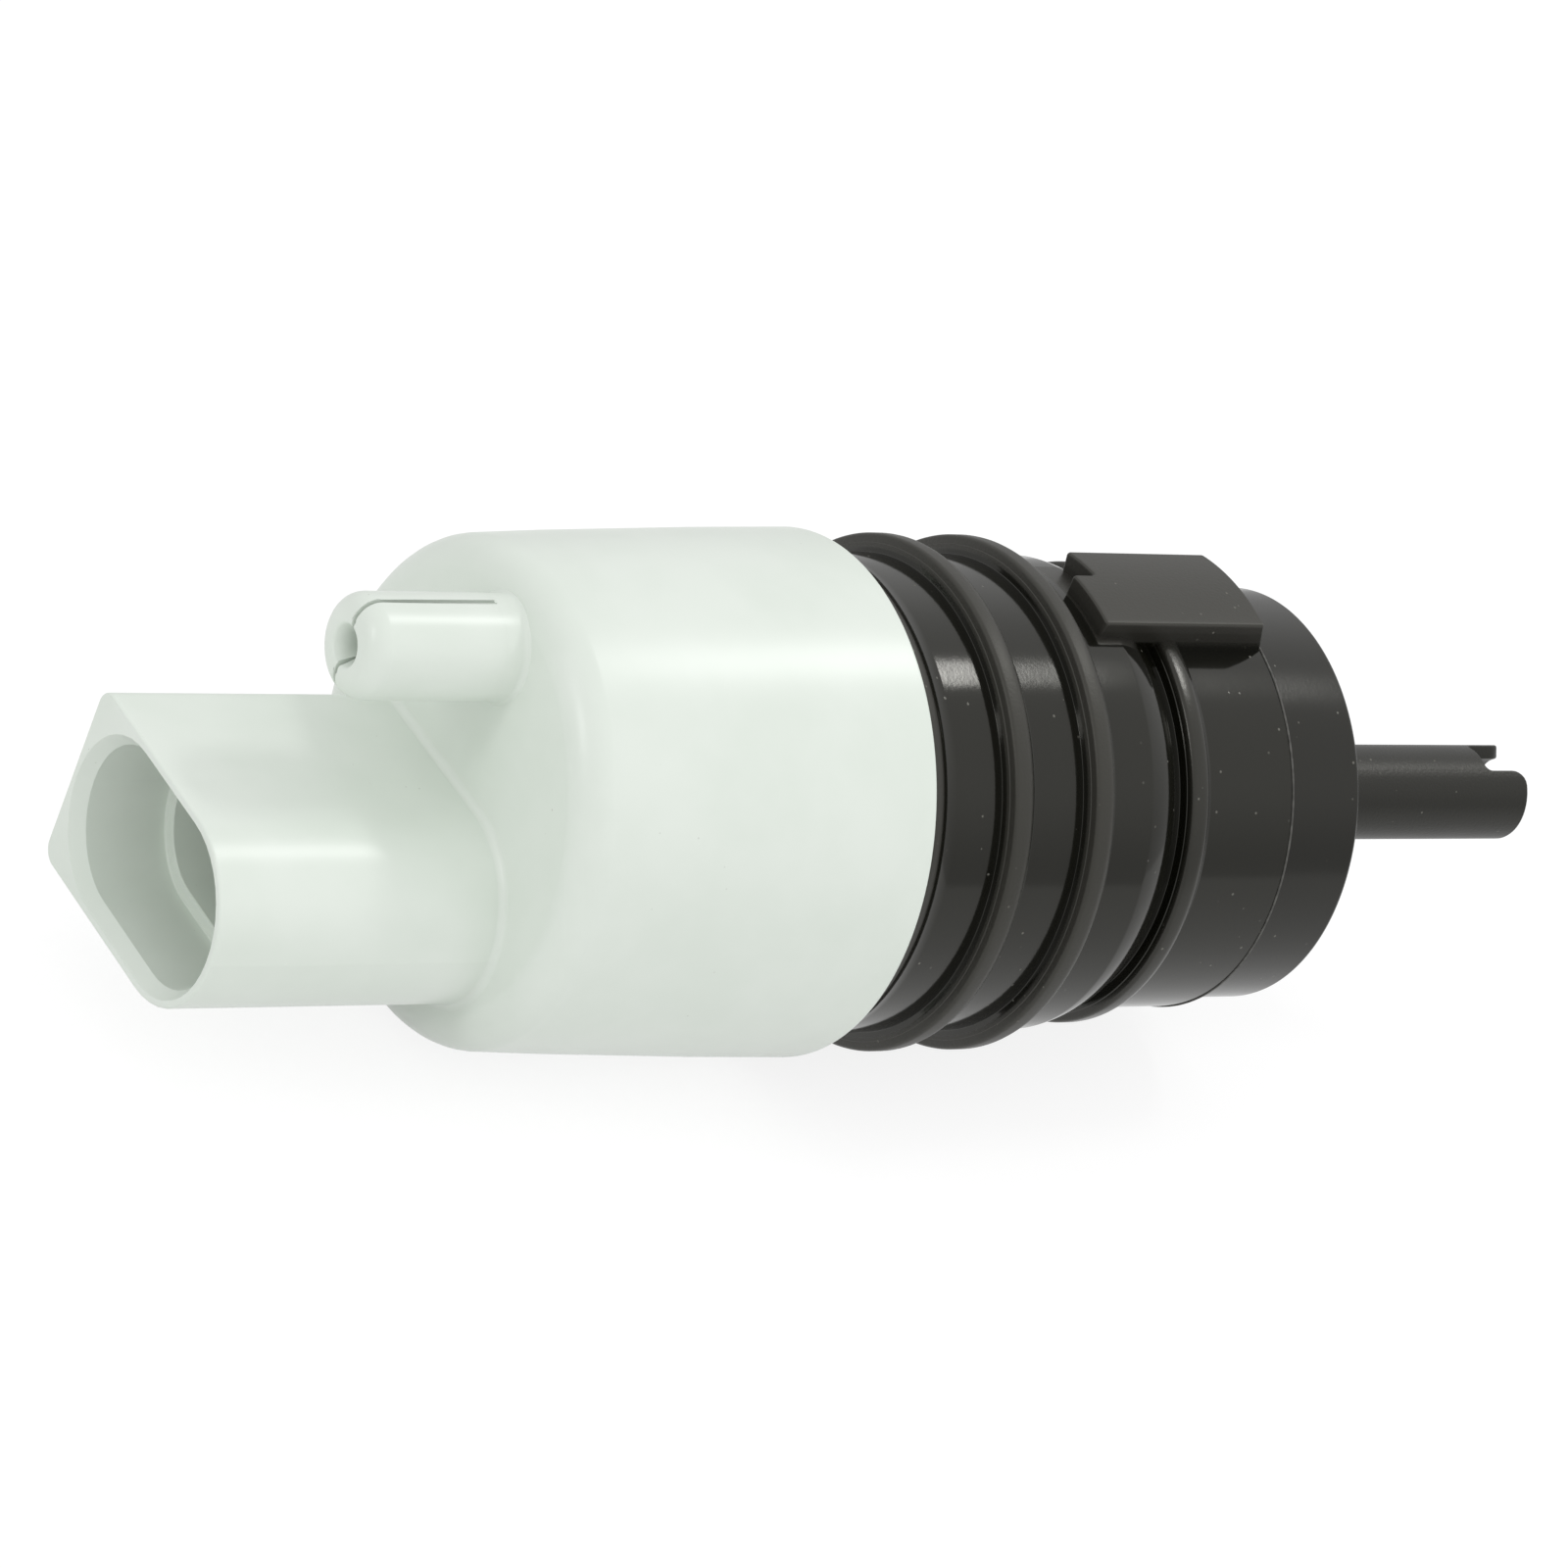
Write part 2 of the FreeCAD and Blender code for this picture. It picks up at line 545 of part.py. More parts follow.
def make_vent_filter():
    """The felt disc behind the vent hole."""
    body = new_body("vent_filter")
    sketch = new_sketch(body, "filter_section", "YZ_Plane", CAP_FLOOR)
    draw_circle(sketch, ("0", BOSS_HEIGHT), "filter_radius")
    pad(body, "filter_disc", sketch, "filter_thickness")
    return body


# Pump housing
def rib_corners(start, foot, crown, base_before, base_after):
    """One rib of a turned outline, from its front foot to its back foot."""
    front = f"{start} + rib_front_slope"
    back = f"{start} + {foot} - rib_back_slope"
    return [
        (start, base_before),
        (f"{front} - rib_corner_slope", f"{crown} - rib_corner"),
        (f"{front} + rib_corner", crown),
        (f"{back} - rib_corner", crown),
        (f"{back} + rib_corner_slope", f"{crown} - rib_corner"),
        (f"{start} + {foot}", base_after),
    ]


def lug_sector(sketch, from_angle, to_angle):
    """The lug's section between two angles from the top, counted towards the near side."""
    root = "(chamber_radius * 0.9)"
    corners = [
        (f"-{root} * sin({to_angle})", f"{root} * cos({to_angle})"),
        (f"-{root} * sin({from_angle})", f"{root} * cos({from_angle})"),
        (f"-{LUG_FACE} * sin({from_angle})", f"{LUG_FACE} * cos({from_angle})"),
        (f"-{LUG_FACE} * sin({to_angle})", f"{LUG_FACE} * cos({to_angle})"),
    ]
    draw_outline(sketch, corners, {2: (("0", "0"), True)})


def make_pump_housing():
    body = new_body("pump_housing")
    first = f"({RIM} + rib_start)"
    second = f"({first} + rib_pitch)"
    third = f"({RIM} + neck_start + neck_slope + neck_flat)"
    collar_end = f"{RIM} + collar_length"
    corners = [(BARREL_END, "0"), (PARTING, "0"), (PARTING, CHAMBER_OUTER)]
    corners += reversed(rib_corners(third, "stop_rib_foot", STOP_RIB_CROWN, NECK, CHAMBER_OUTER))
    corners += [(f"{RIM} + neck_start + neck_slope", NECK), (f"{RIM} + neck_start", BARREL)]
    corners += reversed(rib_corners(second, "rib_foot", RIB_CROWN, BARREL, BARREL))
    corners += reversed(rib_corners(first, "rib_foot", RIB_CROWN, BARREL, BARREL))
    corners += [(f"{collar_end} + collar_slope", BARREL), (collar_end, COLLAR)]
    corners += [(RIM, COLLAR), (RIM, BARREL), (BARREL_END, BARREL)]
    turn(body, "housing_solid", corners)
    lug_edge = f"({PARTING} - lug_back)"
    foot_end = f"({lug_edge} + lug_back_slope)"
    sketch = new_sketch(body, "lug_long_section", "YZ_Plane", f"{RIM} + lug_front")
    lug_sector(sketch, "-lug_step_angle", "lug_half_angle")
    pad(body, "lug_long_half", sketch, f"{foot_end} - ({RIM} + lug_front)")
    sketch = new_sketch(body, "lug_short_section", "YZ_Plane", f"{RIM} + lug_front + lug_step")
    lug_sector(sketch, "-lug_half_angle", "-lug_step_angle")
    pad(body, "lug_short_half", sketch, f"{foot_end} - ({RIM} + lug_front + lug_step)")
    turn(body, "lug_back_slant", [
        (lug_edge, LUG_FACE), (foot_end, CHAMBER_OUTER),
        (foot_end, f"{LUG_FACE} + lug_back_slope"), (lug_edge, f"{LUG_FACE} + lug_back_slope"),
    ], cut=True)

    turn(body, "housing_room", [
        (BARREL_END, "0"), (PARTING, "0"), (PARTING, "chamber_radius"), (BULKHEAD_FRONT, "chamber_radius"),
        (BULKHEAD_FRONT, SEAL_BOSS), (SEAL_BOSS_FRONT, SEAL_BOSS),
        (SEAL_BOSS_FRONT, SEAL), (SEAL_BACK, SEAL), (SEAL_BACK, "shaft_radius + shaft_hole_play"),
        (f"{POCKET_FLOOR} + boss_recess_depth", "shaft_radius + shaft_hole_play"),
        (f"{POCKET_FLOOR} + boss_recess_depth", f"{NOSE} + nose_play"), (POCKET_FLOOR, f"{NOSE} + nose_play"),
        (POCKET_FLOOR, MOTOR_BORE), (BARREL_END, MOTOR_BORE),
    ], cut=True)
    return body


# Chamber cover with inlet stub and outlet nipple
def make_chamber_cover():
    body = new_body("chamber_cover")
    spigot_outer = "chamber_radius - spigot_play"
    spigot_inner = "chamber_radius - spigot_play - spigot_wall"
    turn(body, "cover_solid", [
        (f"{PARTING} - spigot_length", "0"), ("stub_length", "0"), ("stub_length", "stub_radius"),
        ("0", "stub_radius"), ("0", COVER_OUTER), (PARTING, COVER_OUTER),
        (PARTING, spigot_outer), (f"{PARTING} - spigot_length", spigot_outer),
    ])
    edge = ring_edges(body.Shape, [("0", COVER_OUTER)])
    soften(body, "cover_edge", "PartDesign::Chamfer", edge, "cover_bevel", "Size")

    sketch = nipple_sketch(body, "nipple_outline")
    barb = "(nipple_reach - barb_length)"
    draw_outline(sketch, [
        ("0", "0"), ("nipple_reach", "0"), ("nipple_reach", "barb_tip_radius"), (barb, "barb_radius"),
        (barb, "nipple_radius"), ("0", "nipple_radius"),
    ])
    spin_about_own_axis(body, "nipple", sketch, "PartDesign::Revolution")

    turn(body, "cover_room", [
        (f"{PARTING} - spigot_length", "0"), ("-cover_end_wall", "0"), ("-cover_end_wall", COVER_ROOM),
        (PARTING, COVER_ROOM), (PARTING, spigot_inner), (f"{PARTING} - spigot_length", spigot_inner),
    ], cut=True)
    turn(body, "inlet_bore", [
        ("-cover_end_wall", "0"), ("stub_length", "0"),
        ("stub_length", "stub_bore"), ("-cover_end_wall", "stub_bore"),
    ], cut=True)
    sketch = nipple_sketch(body, "nipple_bore_outline")
    draw_outline(sketch, [("0", "0"), ("nipple_reach", "0"), ("nipple_reach", "nipple_bore"), ("0", "nipple_bore")])
    spin_about_own_axis(body, "nipple_bore_cut", sketch, "PartDesign::Groove")

    floor = "(stub_length - notch_depth)"
    shoulder = "(stub_length - lobe_round)"
    beyond = "(stub_length + lobe_round)"
    side = "(notch_width / 2)"
    wide = "(notch_width / 2 + lobe_round)"
    sketch = new_sketch(body, "notch_outline", "XY_Plane", "-stub_radius - lobe_round")
    draw_outline(sketch, [
        (floor, f"-{side}"), (shoulder, f"-{side}"), ("stub_length", f"-{wide}"), (beyond, f"-{wide}"),
        (beyond, wide), ("stub_length", wide), (shoulder, side), (floor, side),
    ], {1: ((shoulder, f"-{wide}"), False), 5: ((shoulder, wide), False)})
    pocket(body, "stub_notches", sketch, "2 * (stub_radius + lobe_round)")
    return body


def nipple_sketch(body, name):
    """A sketch in the plane of the outlet nipple, its origin at the nipple's foot point."""
    sketch = new_sketch(body, name, "YZ_Plane")
    downwards = FreeCAD.Rotation(FreeCAD.Vector(0, 0, -1), number("nipple_slope"))
    sketch.AttachmentOffset = FreeCAD.Placement(FreeCAD.Vector(0, 0, 0), downwards)
    sketch.setExpression("AttachmentOffset.Rotation.Angle", bound("nipple_slope"))
    sketch.setExpression("AttachmentOffset.Base.x", bound("-nipple_offset * sin(nipple_slope)"))
    sketch.setExpression("AttachmentOffset.Base.y", bound("-nipple_offset * cos(nipple_slope)"))
    sketch.setExpression("AttachmentOffset.Base.z", bound("-nipple_setback"))
    return sketch


def spin_about_own_axis(body, name, sketch, kind):
    feature = body.newObject(kind, name)
    feature.Profile = sketch
    feature.ReferenceAxis = (sketch, ["H_Axis"])
    feature.Angle = 360
    doc.recompute()
    return feature


# Motor case
def make_motor_can():
    body = new_body("motor_can")
    front = CAN_FRONT
    inside = f"{CAN_FRONT} - can_wall"
    nose = f"{CAN_FRONT} + nose_length"
    lip = f"{CAN_FRONT} + nose_length - nose_lip"
    turn(body, "can_turn", [
        (CAN_BACK, CAN_INNER), (inside, CAN_INNER), (inside, BUSH), (lip, BUSH),
        (lip, SHAFT_PASS), (nose, SHAFT_PASS), (nose, NOSE), (front, NOSE),
        (front, "can_radius"), (CAN_BACK, "can_radius"),
    ])
    edge = ring_edges(body.Shape, [(front, "can_radius")])
    soften(body, "can_edge", "PartDesign::Chamfer", edge, "can_bevel", "Size")
    return body


def make_end_bell():
    body = new_body("motor_end_bell")
    back = f"{BELL_BACK} - bell_boss_length"
    bearing_front = f"{REAR_BEARING_END} + bearing_length"
    turn(body, "bell_turn", [
        (back, "0"), (REAR_BEARING_END, "0"), (REAR_BEARING_END, BUSH),
        (bearing_front, BUSH), (bearing_front, SHAFT_PASS), (BELL_FACE, SHAFT_PASS),
        (BELL_FACE, f"{CAN_INNER} - seat_play"), (CAN_BACK, f"{CAN_INNER} - seat_play"),
        (CAN_BACK, "can_radius"), (BELL_BACK, "can_radius"),
        (BELL_BACK, NOSE), (back, NOSE),
    ])
    for side, sign in (("near", "-"), ("far", "+")):
        centre = f"(-socket_centre_side {sign} blade_pitch / 2)"
        sketch = new_sketch(body, f"seat_{side}_section", "YZ_Plane", BELL_BACK)
        draw_box(sketch, f"{centre} - blade_width / 2", f"{centre} + blade_width / 2",
                 f"{SOCKET_HEIGHT} - blade_thickness / 2", f"{SOCKET_HEIGHT} + blade_thickness / 2")
        pocket(body, f"blade_seat_{side}", sketch, "blade_seat")
    return body


def segment(label, start, length, thickness, half_angle, facing):
    """A curved segment against the can's wall: facing 0 is far, 90 up, 180 near and 270 down."""
    body = new_body(label)
    sketch = new_sketch(body, f"{label}_section", "YZ_Plane", start)
    outer = f"({CAN_INNER} - seat_play)"
    inner = f"({CAN_INNER} - seat_play - {thickness})"
    first = f"({facing} - {half_angle})"
    last = f"({facing} + {half_angle})"
    corners = [
        (f"{outer} * cos({first})", f"{outer} * sin({first})"),
        (f"{outer} * cos({last})", f"{outer} * sin({last})"),
        (f"{inner} * cos({last})", f"{inner} * sin({last})"),
        (f"{inner} * cos({first})", f"{inner} * sin({first})"),
    ]
    draw_outline(sketch, corners, {0: (("0", "0"), True), 2: (("0", "0"), False)})
    pad(body, f"{label}_pad", sketch, length)
    return body


# Brushes
def make_brush(side, sign):
    """A carbon block with a hollow face on the commutator."""
    body = new_body(f"brush_{side}")
    face = f"({COMMUTATOR} + brush_play)"
    low = f"({sign}{face})" if sign == "" else f"(-{face} - brush_depth)"
    high = f"({face} + brush_depth)" if sign == "" else f"(-{face})"
    back = f"({WINDING_BACK} - tang_width - end_play - brush_length)"
    inner_edge = "(brush_play)"
    sketch = new_sketch(body, f"brush_{side}_section", "YZ_Plane", back)
    half = "brush_height / 2"
    sunk = f"({COMMUTATOR} - sqrt({COMMUTATOR} ^ 2 - brush_height ^ 2 / 4))"
    if sign == "":
        draw_outline(sketch, [
            (f"{low} - {sunk}", f"-{half}"), (high, f"-{half}"), (high, half), (f"{low} - {sunk}", half),
        ])
    else:
        draw_outline(sketch, [
            (low, f"-{half}"), (f"{high} + {sunk}", f"-{half}"), (f"{high} + {sunk}", half), (low, half),
        ])
    pad(body, f"brush_{side}_block", sketch, "brush_length")
    turn(body, f"brush_{side}_face", [
        (back, inner_edge), (f"{back} + brush_length", inner_edge),
        (f"{back} + brush_length", face), (back, face),
    ], cut=True)
    return body


def make_brush_arm(side, sign):
    """A leaf spring from the end bell's face to the brush's back."""
    body = new_body(f"brush_arm_{side}")
    seat = f"({COMMUTATOR} + brush_play + brush_depth)"
    front = f"({WINDING_BACK} - tang_width - end_play)"
    low = seat if sign == "" else f"(-{seat} - arm_thickness)"
    high = f"({seat} + arm_thickness)" if sign == "" else f"(-{seat})"
    sketch = new_sketch(body, f"arm_{side}_section", "YZ_Plane", BELL_FACE)
    draw_box(sketch, low, high, "-brush_height / 2", "brush_height / 2")
    pad(body, f"arm_{side}_strip", sketch, f"{front} - {BELL_FACE}")
    return body


# Rotor
def slot_corners(inset):
    """A winding slot's outline below its lip, drawn in by a lining."""
    top = f"({CORE} - slot_lip - {inset})"
    return [
        (f"-slot_floor + {inset}", f"slot_floor_radius + {inset}"),
        (f"slot_floor - {inset}", f"slot_floor_radius + {inset}"),
        (f"slot_shoulder - {inset}", f"{top} - slot_lip"),
        (f"slot_mouth", top), (f"-slot_mouth", top),
        (f"-slot_shoulder + {inset}", f"{top} - slot_lip"),
    ]


def make_armature_core():
    body = new_body("armature_core")
    turn(body, "core_turn", [
        (CORE_BACK, "shaft_radius"), (CORE_FRONT, "shaft_radius"),
        (CORE_FRONT, CORE), (CORE_BACK, CORE),
    ])
    sketch = new_sketch(body, "slot_section", "YZ_Plane", CORE_BACK)
    floor_left, floor_right, right, mouth_right, mouth_left, left = slot_corners("0")
    outside = f"{CORE} + slot_lip"
    draw_outline(sketch, [
        floor_left, floor_right, right, mouth_right, ("slot_mouth", outside),
        ("-slot_mouth", outside), mouth_left, left,
    ])
    slot = pocket(body, "slot", sketch, f"{CORE_FRONT} - {CORE_BACK}")
    pattern(body, "slots", slot, "slot_count")
    return body


def make_winding():
    body = new_body("armature_winding")
    inner = "slot_floor_radius - slot_floor"
    turn(body, "rear_turns", [
        (WINDING_BACK, inner), (CORE_BACK, inner), (CORE_BACK, TURNS), (WINDING_BACK, TURNS),
    ])
    sketch = new_sketch(body, "coil_section", "YZ_Plane", f"{CORE_BACK} - turn_height / 2")
    draw_outline(sketch, slot_corners("slot_lining"))
    coil = pad(body, "coil_side", sketch, f"{CORE_FRONT} - {CORE_BACK} + turn_height")
    pattern(body, "coil_sides", coil, "slot_count")
    turn(body, "front_turns", [
        (CORE_FRONT, inner), (WINDING_FRONT, inner), (WINDING_FRONT, TURNS), (CORE_FRONT, TURNS),
    ])
    edges = ring_edges(body.Shape, [(WINDING_BACK, TURNS), (WINDING_FRONT, TURNS)])
    soften(body, "turn_edges", "PartDesign::Chamfer", edges, "turn_bevel", "Size")
    return body


def make_impeller():
    body = new_body("impeller")
    disc_back = f"({HUB_BACK} + disc_start)"
    disc_front = f"({disc_back} + disc_thickness)"
    turn(body, "hub_and_disc", [
        (HUB_BACK, "shaft_radius"), (SHAFT_FRONT, "shaft_radius"), (SHAFT_FRONT, "0"), (HUB_FRONT, "0"),
        (HUB_FRONT, HUB), (disc_front, HUB), (disc_front, DISC),
        (disc_back, DISC), (disc_back, HUB), (HUB_BACK, HUB),
    ])
    sketch = new_sketch(body, "vane_section", "YZ_Plane", disc_front)
    root = f"({HUB} - vane_root)"
    tip = f"({DISC} - vane_setback)"
    half = "vane_thickness / 2"
    draw_outline(sketch, [
        (f"-{half}", root), (half, root), (f"{half} + vane_lean * 0.35", f"{tip} * 0.7"),
        (f"{half} + vane_lean", tip), (f"-{half} + vane_lean", tip),
        (f"-{half} + vane_lean * 0.35", f"{tip} * 0.7"),
    ])
    vane = pad(body, "vane", sketch, "vane_height")
    pattern(body, "vanes", vane, "vane_count")
    return body


make_connector_cap()
make_blade("near", "-")
make_blade("far", "+")
make_vent_filter()
make_pump_housing()
make_chamber_cover()
make_motor_can()
make_end_bell()
for label, facing in (("magnet_upper", "90"), ("magnet_lower", "270")):
    length = f"({WINDING_FRONT} - {WINDING_BACK})"
    segment(label, WINDING_BACK, length, "magnet_thickness", "magnet_half_angle", facing)
for label, facing in (("magnet_spring_near", "180"), ("magnet_spring_far", "0")):
    start = f"{WINDING_BACK} + ({WINDING_FRONT} - {WINDING_BACK} - clip_length) / 2"
    segment(label, start, "clip_length", "clip_thickness", "(90 - magnet_half_angle)", facing)
for side, sign in (("near", "-"), ("far", "")):
    make_brush(side, sign)
    make_brush_arm(side, sign)
ring_piece("cap_seal_ring", f"{BARREL_END} - seal_ring_thickness", BARREL_END,
           CAP_MOTOR_ROOM, f"{CAP_BORE} - seat_play")
ring_piece("motor_damper", CAN_FRONT, POCKET_FLOOR,
           "can_radius - damper_setback - damper_width", "can_radius - damper_setback")
ring_piece("rear_bearing", REAR_BEARING_END, f"{REAR_BEARING_END} + bearing_length",
           "shaft_radius + running_play", BUSH)
ring_piece("front_bearing", FRONT_BEARING_BACK, f"{CAN_FRONT} + nose_length - nose_lip",
           "shaft_radius + running_play", BUSH)
ring_piece("shaft_seal", SEAL_BACK, SEAL_FRONT, "shaft_radius + seal_play", SEAL)
ring_piece("seal_retainer", SEAL_FRONT, f"{SEAL_FRONT} + retainer_length", "shaft_radius + retainer_play", SEAL)
ring_piece("motor_shaft", f"{REAR_BEARING_END} + shaft_end_gap", SHAFT_FRONT, "0", "shaft_radius")
ring_piece("rear_thrust_washer", WASHER_BACK, COMMUTATOR_BACK,
           "shaft_radius + seat_play", "shaft_radius + washer_width")
ring_piece("front_thrust_washer", WINDING_FRONT, f"{WINDING_FRONT} + washer_thickness",
           "shaft_radius + seat_play", "shaft_radius + washer_width")
turned_piece("commutator", [
    (COMMUTATOR_BACK, "shaft_radius"), (WINDING_BACK, "shaft_radius"),
    (WINDING_BACK, f"{COMMUTATOR} + tang_height"), (f"{WINDING_BACK} - tang_width", f"{COMMUTATOR} + tang_height"),
    (f"{WINDING_BACK} - tang_width", COMMUTATOR),
    (COMMUTATOR_BACK, COMMUTATOR),
])
make_armature_core()
make_winding()
make_impeller()

doc.recompute()
for item in doc.Objects:
    if "Invalid" in item.State or "Error" in item.State:
        raise RuntimeError(f"{item.Name} failed: {item.State}")

os.makedirs("parts", exist_ok=True)
for body in doc.findObjects("PartDesign::Body"):
    shape = body.Shape
    if shape.isNull() or not shape.isValid() or len(shape.Solids) != 1:
        raise RuntimeError(f"{body.Label} is not one valid solid")
    shape.exportStep(f"parts/{body.Label}.step")
    print(f"{body.Label:22s} volume {shape.Volume:9.1f}  x {shape.BoundBox.XMin:7.2f} to {shape.BoundBox.XMax:7.2f}")
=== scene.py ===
# %% [markdown]
# # Dressing a windshield washer pump
# The CAD model comes first and stays where it is. This lesson loads it, sets up the camera and
# the light, and then makes each moulded piece again with the soft edges that a real moulding has.
# Lengths are written in millimetres and turned into Blender's metres where they are used.

# %% Load the frame
import json
import math

import bmesh
import bpy
from mathutils import Matrix, Vector


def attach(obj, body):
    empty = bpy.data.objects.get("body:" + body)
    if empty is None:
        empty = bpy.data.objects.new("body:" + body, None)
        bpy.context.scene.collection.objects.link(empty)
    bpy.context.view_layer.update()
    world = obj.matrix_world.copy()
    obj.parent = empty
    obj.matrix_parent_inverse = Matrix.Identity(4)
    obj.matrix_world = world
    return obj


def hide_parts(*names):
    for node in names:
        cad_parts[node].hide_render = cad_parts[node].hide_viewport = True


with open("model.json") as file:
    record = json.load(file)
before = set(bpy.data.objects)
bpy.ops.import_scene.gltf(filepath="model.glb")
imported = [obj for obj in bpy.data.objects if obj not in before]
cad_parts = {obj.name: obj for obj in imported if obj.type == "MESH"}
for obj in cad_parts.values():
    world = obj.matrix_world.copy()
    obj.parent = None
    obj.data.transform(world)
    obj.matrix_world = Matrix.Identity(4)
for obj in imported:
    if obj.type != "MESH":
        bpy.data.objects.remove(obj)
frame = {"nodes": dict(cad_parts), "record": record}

MM = 0.001
FULL_TURN = 2 * math.pi
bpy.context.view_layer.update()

# %% [markdown]
# ## Camera
# The photograph was taken with a long lens from the plug's end, from the near side and a little
# above. The pump's axis is level in the picture, so the camera leans with it. Three axes describe
# this best: the picture's right, its up, and the way back to the camera. They become the camera's
# matrix.

# %% Camera
AXIS_SWING = math.radians(34.96)
CAMERA_LEAN = math.radians(36.0)
CAMERA_DISTANCE = 502.48
AIM = Vector((-36.435, 0, 0)) * MM

picture_right = Vector((math.cos(AXIS_SWING),
                        -math.sin(AXIS_SWING) * math.cos(CAMERA_LEAN),
                        math.sin(AXIS_SWING) * math.sin(CAMERA_LEAN)))
picture_up = Vector((0, math.sin(CAMERA_LEAN), math.cos(CAMERA_LEAN)))
to_camera = picture_right.cross(picture_up)

camera_data = bpy.data.cameras.new("camera")
camera_data.lens = 180
camera_data.sensor_width = 36
camera_data.shift_y = 0.005
camera_data.clip_start = 0.01
camera = bpy.data.objects.new("camera", camera_data)
bpy.context.scene.collection.objects.link(camera)
axes = Matrix((picture_right, picture_up, to_camera)).transposed().to_4x4()
camera.matrix_world = Matrix.Translation(AIM + to_camera * CAMERA_DISTANCE * MM) @ axes
bpy.context.scene.camera = camera
print("camera at", [round(value, 3) for value in camera.location])

# %% [markdown]
# ## Shader maths
# A material is a small graph of nodes. Written out link by link it is hard to read, so one class
# wraps a socket and lets Python's signs add the Math nodes. Another holds the material and adds
# other nodes.

# %% Shader values
SMOOTH_STEP = {"interpolation_type": "SMOOTHSTEP"}


class Value:
    """A number that travels through a finish's nodes."""

    def __init__(self, finish, socket):
        self.finish = finish
        self.socket = socket

    def maths(self, operation, *others):
        return self.finish.add("ShaderNodeMath", {"operation": operation}, self, *others)

    def __add__(self, other):
        return self.maths("ADD", other)

    __radd__ = __add__

    def __mul__(self, other):
        return self.maths("MULTIPLY", other)

    __rmul__ = __mul__

    def __sub__(self, other):
        return self.maths("SUBTRACT", other)

    def __rsub__(self, other):
        return self.finish.add("ShaderNodeMath", {"operation": "SUBTRACT"}, other, self)

    def __pow__(self, other):
        return self.maths("POWER", other)

    def __abs__(self):
        return self.maths("ABSOLUTE")

    def rises(self, low, high):
        """0 below low, 1 above high, and a soft step between them."""
        return self.finish.add("ShaderNodeMapRange", SMOOTH_STEP, self, low, high)


class Finish:
    """A material with its main shader, and short ways to add to it."""

    def __init__(self, name):
        self.material = bpy.data.materials.new(name)
        self.material.use_nodes = True
        self.tree = self.material.node_tree
        self.tree.nodes.clear()
        self.shader = self.tree.nodes.new("ShaderNodeBsdfPrincipled")
        output = self.tree.nodes.new("ShaderNodeOutputMaterial")
        self.tree.links.new(self.shader.outputs["BSDF"], output.inputs["Surface"])
        self.place = self.add("ShaderNodeTexCoord", {}, output="Object")

    def plug(self, socket, value):
        if isinstance(value, Value):
            self.tree.links.new(value.socket, socket)
        elif value is not None:
            socket.default_value = value

    def add(self, kind, settings, *values, output=0, **named):
        """Add a node: its settings first, then its inputs in order or by name."""
        node = self.tree.nodes.new(kind)
        for name, value in settings.items():
            setattr(node, name, value)
        for socket, value in zip(node.inputs, values):
            self.plug(socket, value)
        for name, value in named.items():
            self.plug(node.inputs[name.replace("_", " ").title()], value)
        return Value(self, node.outputs[output])

    def axis(self, letter):
        """The place along X, Y or Z, in metres."""
        return self.add("ShaderNodeSeparateXYZ", {}, self.place, output=letter)

    def noise(self, size_mm, detail=3.0, roughness=0.55):
        """Cloudy noise from 0 to 1 with patches of about that size."""
        return self.add("ShaderNodeTexNoise", {}, vector=self.place, scale=1 / (size_mm * MM),
                        detail=detail, roughness=roughness)

    def specks(self, size_mm, share):
        """1 on a few tiny spots, 0 elsewhere."""
        near = self.add("ShaderNodeTexVoronoi", {}, vector=self.place, scale=1 / (size_mm * MM),
                        randomness=1.0, output="Distance")
        return 1 - near.rises(share * 0.6, share)

    def dust(self):
        """1 on the pale specks of dust that lie here and there on the black plastics."""
        return self.specks(1.1, 0.1) * self.noise(5.0).rises(0.46, 0.56)

    def from_axis(self):
        """The distance from the pump's axis, in metres."""
        across, height = self.axis("Y"), self.axis("Z")
        return (across * across + height * height) ** 0.5

    def larger(self, first, second):
        """The larger of two values."""
        return self.add("ShaderNodeMath", {"operation": "MAXIMUM"}, first, second)

    def blend(self, factor, first, second):
        """A colour between two others."""
        node = self.tree.nodes.new("ShaderNodeMix")
        node.data_type = "RGBA"
        self.plug(node.inputs[0], factor)
        self.plug(node.inputs[6], first)
        self.plug(node.inputs[7], second)
        return Value(self, node.outputs[2])

    def bump(self, height, depth_mm):
        """Turn a height from 0 to 1 into a bump of that depth."""
        bumped = self.add("ShaderNodeBump", {}, distance=depth_mm * MM, height=height,
                          output="Normal")
        self.plug(self.shader.inputs["Normal"], bumped)

    def set(self, **named):
        for name, value in named.items():
            self.plug(self.shader.inputs[name.replace("_", " ")], value)


def colour(red, green, blue):
    """A colour as a picture shows it, from 0 to 255, as the linear values that a shader needs."""
    def linear(value):
        value /= 255
        return value / 12.92 if value <= 0.04045 else ((value + 0.055) / 1.055) ** 2.4
    return (linear(red), linear(green), linear(blue), 1.0)


# %% [markdown]
# ## Moulded plastics
# The cap is a pale plastic with a faint green tint. It isn't quite glossy: light spreads over it
# in a wide soft patch. A very slight bump and slow changes in gloss keep it from looking like
# glass.

